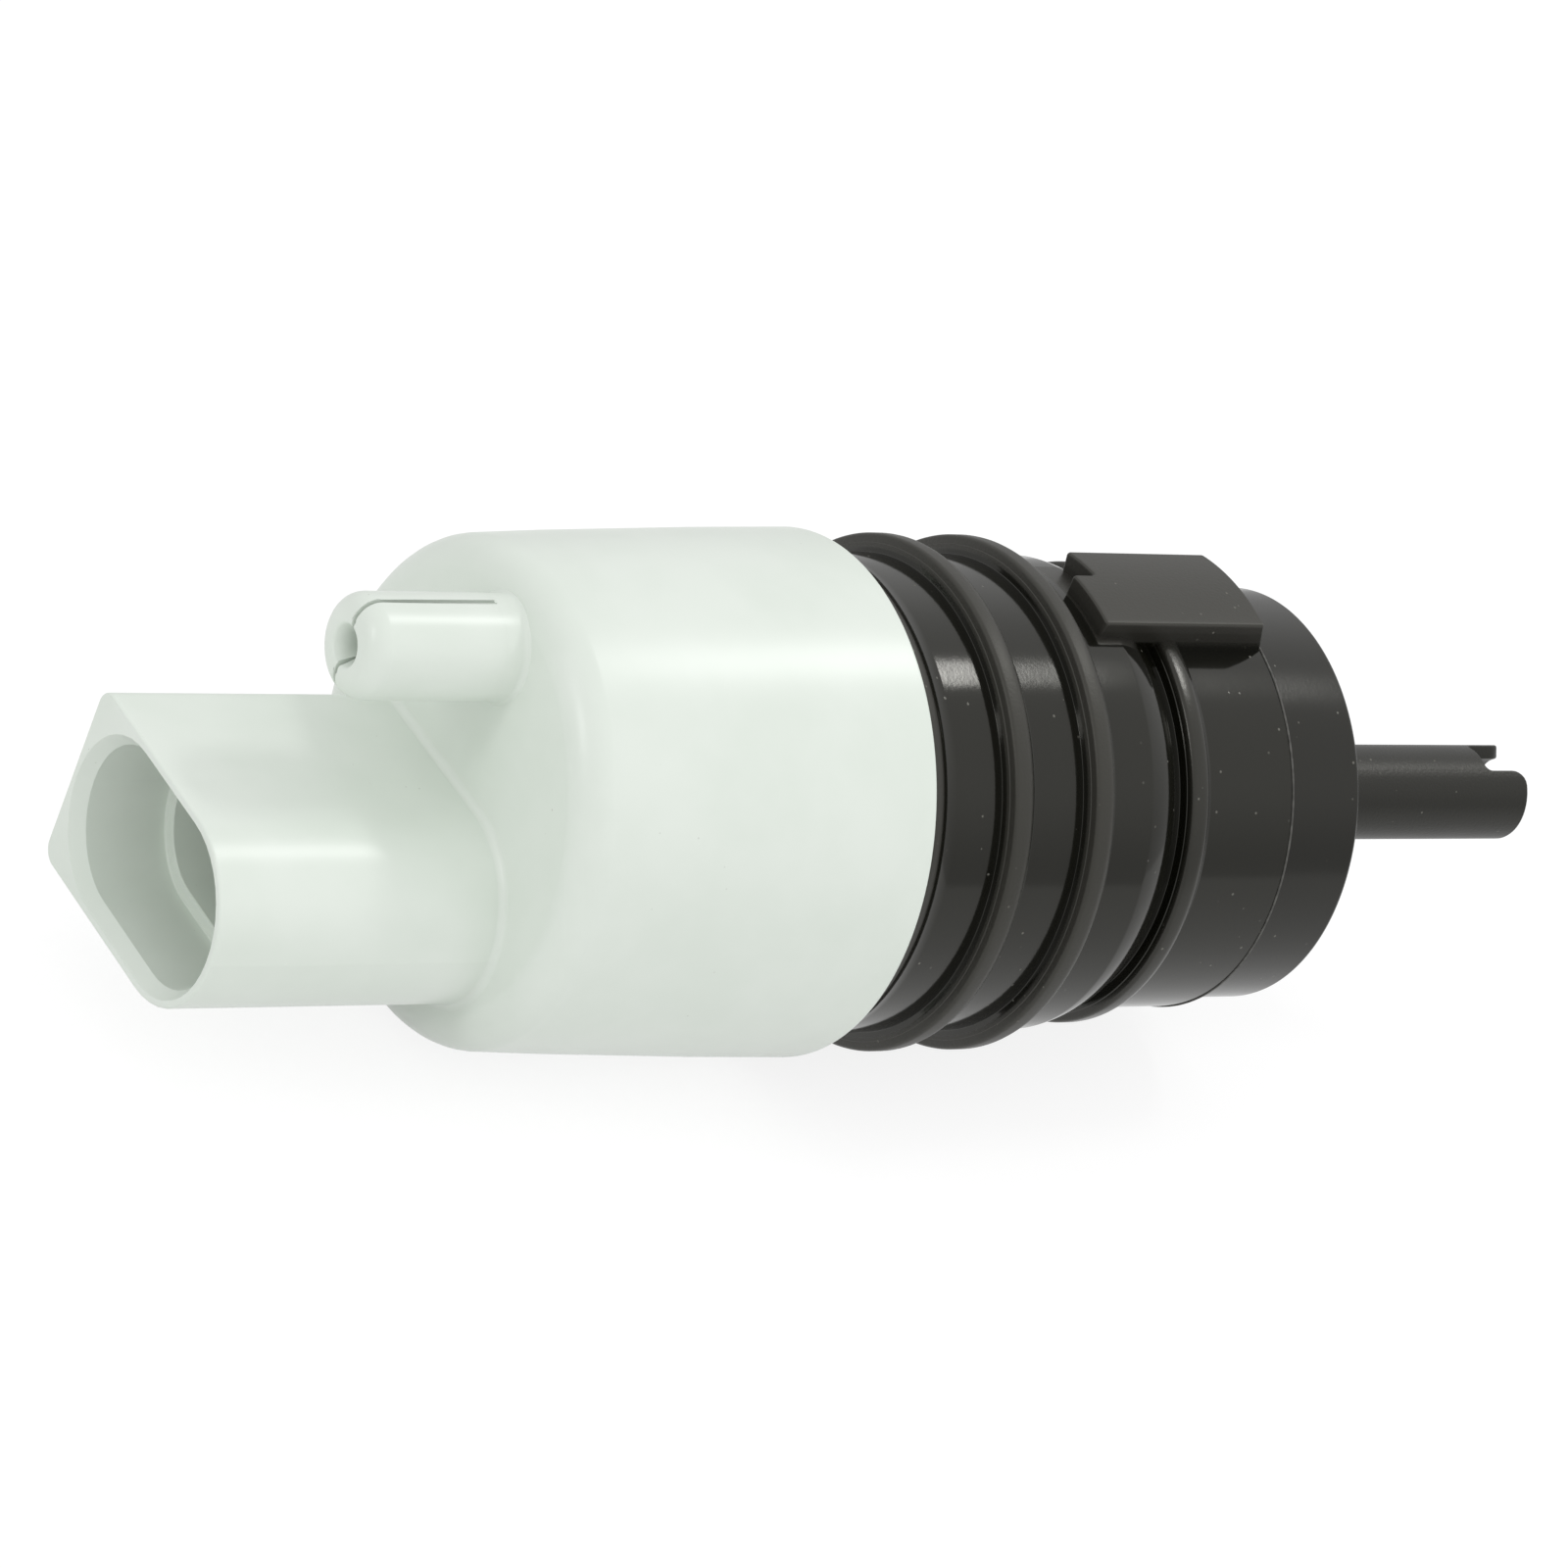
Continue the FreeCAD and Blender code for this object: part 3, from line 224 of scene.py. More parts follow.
# %% Cap plastic
def cap_plastic():
    finish = Finish("cap_plastic")
    cloud = finish.noise(9.0)
    grain = finish.noise(1.4, detail=2.0)
    dust = finish.specks(1.6, 0.05) * finish.noise(14.0).rises(0.52, 0.6)
    body = finish.blend(cloud.rises(0.3, 0.7), colour(224, 232, 223), colour(229, 236, 228))
    finish.set(Base_Color=finish.blend(dust * 0.35, body, colour(150, 148, 138)),
               Roughness=0.28 + cloud * 0.04, IOR=1.5)
    finish.bump(grain, 0.001)
    return finish.material


# %% [markdown]
# The housing is a glossy black plastic that has been handled: the flats mirror the room softly,
# while the rib crowns and the fixing lug are duller. One material does both. The distance from
# the pump's axis tells the crowns from the flats, and the place tells the lug. Fine pale dust
# lies on all of it.

# %% Housing plastic
LUG_FRONT = -20.4
DUST_COLOUR = colour(150, 148, 140)
WARM_GLOSS = (1.0, 0.99, 0.92, 1.0)


def housing_plastic():
    finish = Finish("housing_plastic")
    across, height, along = finish.axis("Y"), finish.axis("Z"), finish.axis("X")
    from_axis = finish.from_axis()
    crowns = from_axis.rises(15.75 * MM, 16.0 * MM)
    third_rib = from_axis.rises(14.5 * MM, 15.0 * MM) * along.rises(-15.6 * MM, -15.2 * MM)
    on_lug = height.rises(14.4 * MM, 14.7 * MM) * (1 - abs(across).rises(4.3 * MM, 4.5 * MM))
    on_lug = on_lug * along.rises((LUG_FRONT - 0.2) * MM, LUG_FRONT * MM)
    dull = finish.larger(finish.larger(crowns, third_rib * 0.45), on_lug * 0.8)
    cloud = finish.noise(6.0)
    grain = finish.noise(0.22, detail=2.0)
    waves = finish.noise(1.8, detail=2.0)
    dust = finish.dust()
    body = finish.blend(dull, colour(14, 14, 9), colour(46, 45, 41))
    finish.set(Base_Color=finish.blend(dust * 0.4, body, DUST_COLOUR),
               Roughness=0.08 + dull * 0.32 + cloud * 0.04 + dust * 0.3, IOR=1.5,
               Specular_Tint=WARM_GLOSS)
    finish.bump(grain * (0.12 + dull) + dust * 0.4 + waves * 0.25, 0.012)
    return finish.material


# %% [markdown]
# The cover and the stub are the same black, but the stub is satin: it came out of a rougher
# mould.

# %% Cover plastic
def cover_plastic():
    finish = Finish("cover_plastic")
    past_cover = finish.axis("X").rises(-0.2 * MM, 0.3 * MM)
    on_stub = past_cover * (1 - finish.from_axis().rises(4.0 * MM, 5.0 * MM))
    cloud = finish.noise(5.0)
    grain = finish.noise(0.2, detail=2.0)
    dust = finish.dust()
    body = finish.blend(on_stub, colour(10, 10, 7), colour(16, 16, 12))
    finish.set(Base_Color=finish.blend(dust * 0.4, body, DUST_COLOUR),
               Roughness=0.12 + on_stub * 0.22 + cloud * 0.06 + dust * 0.3, IOR=1.5,
               Specular_Tint=WARM_GLOSS)
    finish.bump(grain * (0.3 + on_stub), 0.012)
    return finish.material


CAP_PLASTIC = cap_plastic()
HOUSING_PLASTIC = housing_plastic()
COVER_PLASTIC = cover_plastic()
print("moulded finishes:", CAP_PLASTIC.name, HOUSING_PLASTIC.name, COVER_PLASTIC.name)

# %% [markdown]
# ## The pieces inside
# The motor, its bushes and the impeller can't be seen while the pump is whole, but they show when
# the housing is opened or cut. They keep their CAD shapes, and each slot of the record gets its
# own finish. One function makes them all from a colour, a gloss and the size of the grain.

# %% Inner finishes
INNER_FINISHES = {
    # slot: colour, second colour, metallic, roughness, grain size, grain depth
    "tin": ((200, 198, 190), (176, 174, 166), 1.0, 0.28, 0.5, 0.004),
    "felt": ((206, 200, 186), (184, 178, 164), 0.0, 0.95, 0.25, 0.08),
    "rubber_black": ((28, 28, 28), (38, 38, 37), 0.0, 0.62, 0.4, 0.01),
    "steel_can": ((176, 178, 180), (150, 153, 156), 1.0, 0.34, 0.8, 0.006),
    "bell_plastic": ((44, 44, 44), (56, 56, 55), 0.0, 0.5, 0.4, 0.01),
    "ferrite": ((58, 58, 60), (72, 72, 75), 0.1, 0.6, 0.3, 0.01),
    "spring_steel": ((150, 152, 155), (128, 130, 134), 1.0, 0.3, 0.6, 0.004),
    "carbon": ((34, 34, 35), (48, 48, 50), 0.1, 0.55, 0.3, 0.01),
    "bronze": ((164, 128, 82), (138, 104, 64), 1.0, 0.45, 0.2, 0.01),
    "shaft_steel": ((206, 208, 210), (188, 190, 193), 1.0, 0.16, 0.7, 0.002),
    "laminations": ((104, 106, 110), (84, 86, 90), 0.9, 0.45, 0.5, 0.01),
    "copper": ((184, 96, 52), (150, 70, 36), 0.8, 0.32, 0.4, 0.03),
    "commutator_copper": ((196, 120, 76), (168, 96, 60), 1.0, 0.26, 0.6, 0.004),
    "washer_plastic": ((196, 190, 172), (184, 178, 160), 0.0, 0.45, 0.4, 0.006),
    "impeller_plastic": ((214, 214, 208), (204, 204, 198), 0.0, 0.4, 0.5, 0.006),
    "black_plastic": ((20, 20, 19), (28, 28, 27), 0.0, 0.35, 0.4, 0.01),
}
LAMINATION = 0.5


def inner_finish(slot):
    first, second, metallic, roughness, grain_size, grain_depth = INNER_FINISHES[slot]
    finish = Finish(slot)
    cloud = finish.noise(grain_size * 6)
    grain = finish.noise(grain_size, detail=2.0)
    height = grain
    if slot in ("laminations", "copper"):
        waves = finish.axis("X") * (FULL_TURN / (LAMINATION * MM))
        height = waves.maths("SINE") * 0.5 + 0.5
    finish.set(Base_Color=finish.blend(cloud.rises(0.35, 0.65), colour(*first), colour(*second)),
               Metallic=metallic, Roughness=roughness + grain * 0.1)
    finish.bump(height, grain_depth)
    return finish.material


slot_of = {part["node"]: part["material_slot"] for part in frame["record"]["subparts"]}
inner_materials = {slot: inner_finish(slot) for slot in INNER_FINISHES}
for name, node in frame["nodes"].items():
    material = inner_materials.get(slot_of[name])
    if material:
        for place in node.material_slots:
            place.material = material
print("inner finishes:", len(inner_materials))

# %% [markdown]
# ## Turned mouldings
# The cap, the housing and the cover are all round. On the real pump each comes out of a mould
# that was turned on a lathe, so the natural way is an outline that spins about the pump's axis.
# The outline's corners are rounded first, with a bevel on its points, so every edge of the
# finished piece is soft.

# %% Outline and spin helpers
SMOOTH_ANGLE = math.radians(28)
SMALL_ROUND = 0.6


def finished(name, shape, material, body="casing", replaces=()):
    """Turn a bmesh into a piece that rides on a body."""
    bmesh.ops.remove_doubles(shape, verts=shape.verts, dist=1e-7)
    bmesh.ops.recalc_face_normals(shape, faces=shape.faces)
    for face in shape.faces:
        face.smooth = True
    for edge in shape.edges:
        edge.smooth = edge.is_manifold and edge.calc_face_angle(0) < SMOOTH_ANGLE
    open_edges = sum(not edge.is_manifold for edge in shape.edges)
    mesh = bpy.data.meshes.new(name)
    shape.to_mesh(mesh)
    print(f"{name}: {len(shape.faces)} faces, {open_edges} open edges")
    shape.free()
    mesh.materials.append(material)
    piece = bpy.data.objects.new(name, mesh)
    bpy.context.scene.collection.objects.link(piece)
    shading = piece.modifiers.new("flats keep flat", "WEIGHTED_NORMAL")
    shading.keep_sharp = True
    shading.weight = 90
    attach(piece, body)
    if replaces:
        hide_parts(*replaces)
    return piece


def rounded(shape, geom, width, segments, affect="EDGES", clamped=False):
    """Round corner points or edges by a width in millimetres."""
    bmesh.ops.bevel(shape, geom=geom, offset=width * MM, offset_type="OFFSET", segments=segments,
                    profile=0.5, affect=affect, material=-1, clamp_overlap=clamped)


def everything(shape):
    """All of a shape's points, edges and faces."""
    return shape.verts[:] + shape.edges[:] + shape.faces[:]


def outline(shape, corners, closed=True):
    """Draw (along, out, rounding) corners as a wire, and round those that have a rounding."""
    points = [shape.verts.new((along * MM, 0, out * MM)) for along, out, *_ in corners]
    links = list(zip(points, points[1:] + points[:1])) if closed else list(zip(points, points[1:]))
    for first, second in links:
        shape.edges.new((first, second))
    for point, (_, _, *rounding) in zip(points, corners):
        if rounding:
            rounded(shape, [point], rounding[0], 4 if rounding[0] < SMALL_ROUND else 8, "VERTICES")
    return shape


def spun(corners, steps=180, closed=True):
    """Spin an outline about the X axis into a closed shape."""
    shape = outline(bmesh.new(), corners, closed)
    bmesh.ops.spin(shape, geom=shape.verts[:] + shape.edges[:], cent=(0, 0, 0), axis=(1, 0, 0),
                   angle=FULL_TURN, steps=steps, use_merge=True)
    bmesh.ops.remove_doubles(shape, verts=shape.verts, dist=1e-7)
    return shape


# %% [markdown]
# ## Cap
# The cap is a cup that slides over the barrel. Its wall leans in a little towards the flat end,
# so that it leaves the mould, and a wide round joins the wall to the end.

# %% Cap shell
CAP_END, RIM = -62.3, -36.6
BARREL_STOP, MOTOR_STOP, CAP_FLOOR = -52.1, -55.6, -60.5
CAP_BORE, CAP_ROOM = 15.6, 12.9
cap = spun([
    (CAP_END, 0), (CAP_END, 16.1, 2.2), (-55.0, 16.45), (-44.3, 16.83), (RIM, 17.0, 0.22),
    (RIM, CAP_BORE, 0.1), (BARREL_STOP, CAP_BORE), (BARREL_STOP, 14.3), (MOTOR_STOP, 14.3),
    (MOTOR_STOP, CAP_ROOM), (CAP_FLOOR, CAP_ROOM), (CAP_FLOOR, 0),
], closed=False)
cap_shell = finished("cap_shell", cap, CAP_PLASTIC, replaces=["connector_cap"])

# %% [markdown]
# ## Plug socket
# The socket has one square end and one round end, so the plug fits only one way. Each station
# along it is a rectangle whose corners are rounded by a bevel. Every corner gets the same number
# of points, so bridging one station to the next gives a clean skin: out along the wall, over the
# mouth, down the bore.

# %% Socket helpers
SOCKET_CENTRE = (-0.7, -5.15)
MOUTH = -82.6
CORNER_STEPS = 10
HALF_LENGTH, HALF_WIDTH, SOCKET_WALL = 10.1, 6.45, 1.1
SQUARE_ROUND = 1.2


def station(shape, along, half_length, half_width, near_round, far_round):
    """One rounded rectangle across the socket; returns its edges."""
    side, height = SOCKET_CENTRE
    places = ((-1, -1, near_round), (1, -1, far_round), (1, 1, far_round), (-1, 1, near_round))
    points = [shape.verts.new((along * MM, (side + across * half_length) * MM,
                               (height + up * half_width) * MM)) for across, up, _ in places]
    edges = [shape.edges.new((points[i], points[(i + 1) % 4])) for i in range(4)]
    before = set(shape.edges) - set(edges)
    for point, (_, _, rounding) in zip(points, places):
        rounded(shape, [point], rounding, CORNER_STEPS, "VERTICES")
    return [edge for edge in shape.edges if edge not in before]


def full_round(half_width):
    """The rounding that makes an end a half circle, less a hair so that its points stay apart."""
    return half_width - 0.01


def socket_wall(along, grow):
    """The outside of the socket at a station, grown by a little."""
    return (along, HALF_LENGTH + grow, HALF_WIDTH + grow, full_round(HALF_WIDTH) + grow,
            SQUARE_ROUND + grow)


def socket_bore(along, grow):
    """The bore at a station, grown by a little."""
    half_width = HALF_WIDTH - SOCKET_WALL
    rounding = full_round(half_width) + grow
    return (along, HALF_LENGTH - SOCKET_WALL + grow, half_width + grow, rounding, rounding)


# %% Socket
ROOT_ROUND = 0.5
MOUTH_ROUND = 0.16
SOCKET_DEPTH = 18.8
STEP_IN = -0.75
turns = [(math.sin(turn), math.cos(turn)) for turn in (step * math.pi / 8 for step in range(5))]
levels = [socket_wall(CAP_END + 0.6, ROOT_ROUND)]
levels += [socket_wall(CAP_END - ROOT_ROUND * (1 - cosine), ROOT_ROUND * (1 - sine))
           for sine, cosine in turns]
levels += [socket_wall(MOUTH + MOUTH_ROUND * (1 - sine), MOUTH_ROUND * (cosine - 1))
           for sine, cosine in turns]
# the bore: a lead-in at the mouth, then a step inwards halfway down
bore_levels = ((0.03, 0.62), (0.2, 0.5), (0.95, 0), (6.55, 0), (6.66, -0.08), (6.7, -0.67),
               (6.8, STEP_IN), (SOCKET_DEPTH, STEP_IN))
levels += [socket_bore(MOUTH + run, grow) for run, grow in bore_levels]

socket = bmesh.new()
rings = [station(socket, *level) for level in levels]
for near, far in zip(rings, rings[1:]):
    bmesh.ops.bridge_loops(socket, edges=near + far)
for ring in (rings[0], rings[-1]):
    bmesh.ops.contextual_create(socket, geom=ring)
socket_piece = finished("plug_socket", socket, CAP_PLASTIC)

# %% [markdown]
# ## Vent boss
# Above the socket stands a short boss with a vent hole, slit down the middle. Its two prongs are
# one spun tube cut by a plane on each side of the slit. The cut faces are closed, and their edges
# softened.

# %% Vent boss
BOSS_HEIGHT = 11.0
BOSS_END = -73.5
SLIT_STOP = -63.9
HALF_SLIT = 0.15
BOSS_OUTSIDE, BOSS_BORE = 3.35, 0.9
ROOT_START = SLIT_STOP - 0.01


def boss_tube(corners, steps=72):
    """A tube about the boss's own axis."""
    shape = spun(corners, steps)
    bmesh.ops.translate(shape, verts=shape.verts, vec=(0, 0, BOSS_HEIGHT * MM))
    return shape


def prong(side):
    """One half of the slit end."""
    shape = boss_tube([(BOSS_END, 1.4, 0.15), (BOSS_END, BOSS_OUTSIDE, 1.4),
                       (SLIT_STOP, BOSS_OUTSIDE), (SLIT_STOP, BOSS_BORE),
                       (BOSS_END + 1.0, BOSS_BORE)])
    cut = bmesh.ops.bisect_plane(shape, geom=everything(shape), clear_outer=True,
                                 plane_co=(0, side * HALF_SLIT * MM, 0), plane_no=(0, -side, 0))
    rim = [item for item in cut["geom_cut"] if isinstance(item, bmesh.types.BMEdge)]
    bmesh.ops.triangle_fill(shape, edges=rim, use_beauty=True, use_dissolve=True)
    rounded(shape, rim, 0.07, 2)
    return shape


def joined(shapes):
    """Several shapes in one."""
    whole = bmesh.new()
    for shape in shapes:
        mesh = bpy.data.meshes.new("part")
        shape.to_mesh(mesh)
        shape.free()
        whole.from_mesh(mesh)
        bpy.data.meshes.remove(mesh)
    return whole


boss_root = boss_tube([(ROOT_START, BOSS_BORE), (ROOT_START, BOSS_OUTSIDE),
                       (CAP_END - 0.25, BOSS_OUTSIDE, 0.2), (CAP_END, 3.6),
                       (CAP_END + 0.6, 3.6), (CAP_END + 0.6, BOSS_BORE)])
whole_boss = joined([prong(-1), prong(1), boss_root])
vent_boss = finished("vent_boss", whole_boss, CAP_PLASTIC)

# %% [markdown]
# ## Housing
# The barrel slides into the cap up to its collar. Behind it come two press ribs, the slope down
# to the neck, a third rib and the impeller chamber. The inside is drawn too, so that a cut looks
# right: the motor's bore, the bulkhead with the seal's pocket, and the chamber. The outline runs
# round it all.

# %% Housing shell
PARTING = -6.1
BARREL, COLLAR, CROWN = 15.5, 16.1, 16.75
NECK_FOOT, CHAMBER, MOTOR_BORE = 14.0, 14.2, 14.1
ROUND_STEPS = 240


def rib(start, crown_end, foot_end, crown, base_before, base_after):
    """A press rib with a thin ledge halfway up its front, and a softer back."""
    ledge = (crown + base_before) / 2
    return [(start, base_before, 0.04), (start + 0.1, ledge, 0.02),
            (start + 0.15, ledge + 0.03, 0.02), (start + 0.24, crown, 0.24),
            (crown_end, crown, 0.4), (foot_end, base_after, 0.2)]


def neck(start, run, steps):
    """The slope from the barrel to the neck, which gets steeper as it goes."""
    alongs = [run * step / steps for step in range(steps + 1)]
    return [(start + along, BARREL - 0.17 * along - 0.08 * along * along) for along in alongs]


housing_outline = [(-50.6, BARREL, 0.4), (RIM, BARREL), (RIM, COLLAR, 0.1),
                   (RIM + 0.95, COLLAR, 0.5), (RIM + 1.9, BARREL, 0.7)]
for rib_start in (-30.5, -24.1):
    housing_outline += rib(rib_start, rib_start + 1.55, rib_start + 2.4, CROWN, BARREL, BARREL)
housing_outline += neck(-18.6, 2.5, 12) + [(-15.8, NECK_FOOT)]
housing_outline += rib(-15.2, -13.7, -13.0, 15.15, NECK_FOOT, CHAMBER)
housing_outline += [(PARTING, CHAMBER, 0.12), (PARTING, 12.7)]
# the inside, from the chamber past the seal's pocket and the bulkhead to the motor's bore
housing_outline += [(-16.1, 12.7, 0.4), (-16.1, 7.0, 0.3), (-13.1, 7.0, 0.2), (-13.1, 5.5, 0.1),
                    (-18.0, 5.5), (-18.0, 2.4), (-18.7, 2.4), (-18.7, 4.6), (-20.0, 4.6),
                    (-20.0, MOTOR_BORE), (-50.6, MOTOR_BORE, 0.2)]
housing_shell = finished("housing_shell", spun(housing_outline, ROUND_STEPS), HOUSING_PLASTIC,
                         replaces=["pump_housing"])

# %% [markdown]
# ## Shapes drawn flat and bent round
# The fixing lug and the notched stub have outlines that are easy to draw on a flat sheet: along
# the pump one way, round it the other. The sheet gets its thickness and soft edges while it is
# flat. Then it is cut into narrow strips, so that it can follow the curve, and wrapped round the
# axis.

# %% Flat helpers
def flat_sheet(corners, low, high, middle):
    """A sheet from low to high above the axis. Corners are (along, degrees round, rounding)."""
    shape = bmesh.new()
    per_degree = math.radians(1) * middle
    points = [shape.verts.new((along * MM, angle * per_degree * MM, low * MM))
              for along, angle, *_ in corners]
    for first, second in zip(points, points[1:] + points[:1]):
        shape.edges.new((first, second))
    for point, (_, _, *rounding) in zip(points, corners):
        if rounding:
            rounded(shape, [point], rounding[0], 6, "VERTICES")
    base = bmesh.ops.contextual_create(shape, geom=shape.edges[:])["faces"]
    raised = bmesh.ops.extrude_face_region(shape, geom=base, use_keep_orig=True)["geom"]
    tops = [item for item in raised if isinstance(item, bmesh.types.BMVert)]
    bmesh.ops.translate(shape, verts=tops, vec=(0, 0, (high - low) * MM))
    bmesh.ops.recalc_face_normals(shape, faces=shape.faces)
    return shape


def wrapped(shape, middle, strip_degrees):
    """Cut a sheet into strips and wrap it round the X axis, with 0 degrees at the top."""
    strip = math.radians(strip_degrees) * middle * MM
    count = int(max(abs(vert.co.y) for vert in shape.verts) / strip + 0.01)
    for number in range(-count, count + 1):
        bmesh.ops.bisect_plane(shape, geom=everything(shape), dist=1e-8,
                               plane_co=(0, number * strip, 0), plane_no=(0, 1, 0))
    for vert in shape.verts:
        angle = vert.co.y / (middle * MM)
        out = vert.co.z
        vert.co = (vert.co.x, -out * math.sin(angle), out * math.cos(angle))
    return shape


# %% Fixing lug
LUG_LOW, LUG_HIGH, LUG_MIDDLE = 13.92, 16.8, 16.0
LUG_SIDE, NOTCH_SIDE, LUG_ROUND = 14.2, -2.5, 0.25
LUG_TIP, LUG_STEP, LUG_BACK, BACK_LEAN = -20.25, -18.5, -6.08, 1.22
lug_corners = [(LUG_TIP, LUG_SIDE), (LUG_TIP, NOTCH_SIDE), (LUG_STEP, NOTCH_SIDE),
               (LUG_STEP, -LUG_SIDE), (LUG_BACK, -LUG_SIDE), (LUG_BACK, LUG_SIDE)]
lug = flat_sheet([corner + (LUG_ROUND,) for corner in lug_corners], LUG_LOW, LUG_HIGH, LUG_MIDDLE)
for vert in lug.verts:
    if vert.co.z > (LUG_LOW + 0.1) * MM and vert.co.x > -7.0 * MM:
        vert.co.x -= BACK_LEAN * MM
top_face = max(lug.faces, key=lambda face: face.calc_center_median().z)
rounded(lug, top_face.edges[:], 0.28, 3, clamped=True)
fixing_lug = finished("fixing_lug", wrapped(lug, LUG_MIDDLE, 2.0), HOUSING_PLASTIC)

# %% [markdown]
# ## Chamber cover, stub and outlet
# The cover closes the impeller chamber. Its flat end carries the inlet stub, whose end is notched
# twice, so the stub is a sheet wrapped all the way round, joined to itself. The outlet nipple is
# spun about its own axis and then turned and moved to the cover's side. It points away from the
# camera.

# %% Cover shell
COVER, COVER_ROOM, STUB_FOOT = 13.65, 12.2, 0.25
STUB_LOW, STUB_HIGH = 2.25, 3.2
cover_outline = [(-8.1, 12.6, 0.2), (PARTING, 12.6), (PARTING, COVER, 0.1), (0, COVER, 0.35),
                 (0, STUB_HIGH + 0.25, 0.12), (STUB_FOOT, STUB_HIGH, 0.12), (STUB_FOOT, STUB_LOW),
                 (-1.7, STUB_LOW, 0.3), (-1.7, COVER_ROOM, 0.4), (PARTING, COVER_ROOM),
                 (PARTING, 11.4), (-8.1, 11.4, 0.2)]
cover_shell = finished("cover_shell", spun(cover_outline, ROUND_STEPS), COVER_PLASTIC,
                       replaces=["chamber_cover"])

# %% Inlet stub
STUB_END, NOTCH_FLOOR = 23.2, 19.9
NOTCH_HALF = 26.0
stub_corners = [(STUB_FOOT, -90), (STUB_END, -90)]
for centre in (0, 180):
    before, after = centre - NOTCH_HALF, centre + NOTCH_HALF
    stub_corners += [(STUB_END, before, 1.1), (NOTCH_FLOOR, before, 0.5),
                     (NOTCH_FLOOR, after, 0.5), (STUB_END, after, 1.1)]
stub_corners += [(STUB_END, 270), (STUB_FOOT, 270)]
stub = flat_sheet(stub_corners, STUB_LOW, STUB_HIGH, STUB_HIGH)
seam_low, seam_high = (math.radians(angle) * STUB_HIGH * MM for angle in (-90, 270))
seam = [face for face in stub.faces if abs(face.normal.y) > 0.99 and
        min(abs(face.calc_center_median().y - place) for place in (seam_low, seam_high)) < 1e-6]
bmesh.ops.delete(stub, geom=seam, context="FACES_ONLY")
rims = [edge for edge in stub.edges
        if edge.is_manifold and abs(edge.verts[0].co.z - edge.verts[1].co.z) < 1e-7
        and min(vert.co.x for vert in edge.verts) > (NOTCH_FLOOR - 0.1) * MM]
rounded(stub, rims, 0.16, 2, clamped=True)
inlet_stub = finished("inlet_stub", wrapped(stub, STUB_HIGH, 5.0), COVER_PLASTIC)

# %% Outlet nipple
NIPPLE_FOOT = Vector((-3.6, -1.517, -10.794)) * MM
NIPPLE_SLOPE = math.radians(8)
NIPPLE_START, BARB_START, NIPPLE_END = 6.5, 23.8, 27.0
NIPPLE_BORE, NIPPLE_OUTSIDE, BARB = 1.5, 2.4, 2.9
nipple = spun([(NIPPLE_START, NIPPLE_BORE), (NIPPLE_START, NIPPLE_OUTSIDE),
               (BARB_START, NIPPLE_OUTSIDE, 0.1), (BARB_START, BARB, 0.12),
               (NIPPLE_END, 1.95, 0.3), (NIPPLE_END, NIPPLE_BORE, 0.2)], 72)
aim = Matrix.Rotation(-NIPPLE_SLOPE, 4, "X") @ Matrix.Rotation(math.pi / 2, 4, "Z")
bmesh.ops.transform(nipple, matrix=Matrix.Translation(NIPPLE_FOOT) @ aim, verts=nipple.verts)
outlet_nipple = finished("outlet_nipple", nipple, COVER_PLASTIC)

# %% [markdown]
# ## Parting line
# Where the cover is welded to the housing, a thin line of plastic was pressed out. It is paler
# than the rest because it is rough, and it is what shows that these are two mouldings.

# %% Weld line
def weld_plastic():
    finish = Finish("weld_line")
    grain = finish.noise(0.5)
    plastic = finish.blend(grain.rises(0.3, 0.7), colour(92, 91, 87), colour(62, 61, 58))
    finish.set(Base_Color=plastic, Roughness=0.5 + grain * 0.1)
    finish.bump(grain, 0.03)
    return finish.material


WELD_START, WELD_END, WELD_FOOT, WELD_TOP = -6.16, -6.02, 13.9, 14.27
weld = spun([(WELD_START, WELD_FOOT), (WELD_START, WELD_TOP, 0.04), (WELD_END, WELD_TOP, 0.04),
             (WELD_END, WELD_FOOT)], ROUND_STEPS)
weld_line = finished("weld_line", weld, weld_plastic())

# %% [markdown]
# ## Floor and background
# The photograph has a white background. The floor is a pale diffuse plane, so it still takes the
# object's shadow and throws light up under it; the camera sees it lifted to white, and what gloss
# mirrors of it is a bright sheet under the pump that fades a little way out. The world does the
# same: white to the camera, and a plain level of light for everything else. Both choose by the
# kind of ray.

# %% Nodes that choose by the ray
WHITE = (1, 1, 1, 1)


def grey(level):
    """A grey for a colour socket."""
    return (level, level, level, 1)


class Stage:
    """The nodes of the floor or the world, with short ways to add to them."""

    def __init__(self, holder, output):
        holder.use_nodes = True
        self.tree = holder.node_tree
        self.tree.nodes.clear()
        self.output = self.tree.nodes.new(output)
        self.ray = self.node("ShaderNodeLightPath", {})

    def node(self, kind, settings, *values):
        node = self.tree.nodes.new(kind)
        for name, value in settings.items():
            setattr(node, name, value)
        for socket, value in zip(node.inputs, values):
            if isinstance(value, bpy.types.NodeSocket):
                self.tree.links.new(value, socket)
            elif value is not None:
                socket.default_value = value
        return node

    def shader(self, kind, *values):
        return self.node(kind, {}, *values).outputs[0]

    def choose(self, others, mirrored, seen):
        """One shader for most rays, one for gloss, and one for the camera and what is clear."""
        kinds = self.ray.outputs
        direct = self.node("ShaderNodeMath", {"operation": "MAXIMUM"},
                           kinds["Is Camera Ray"], kinds["Is Transmission Ray"]).outputs[0]
        below = self.shader("ShaderNodeMixShader", kinds["Is Glossy Ray"], others, mirrored)
        below = self.shader("ShaderNodeMixShader", direct, below, seen)
        self.tree.links.new(below, self.output.inputs["Surface"])


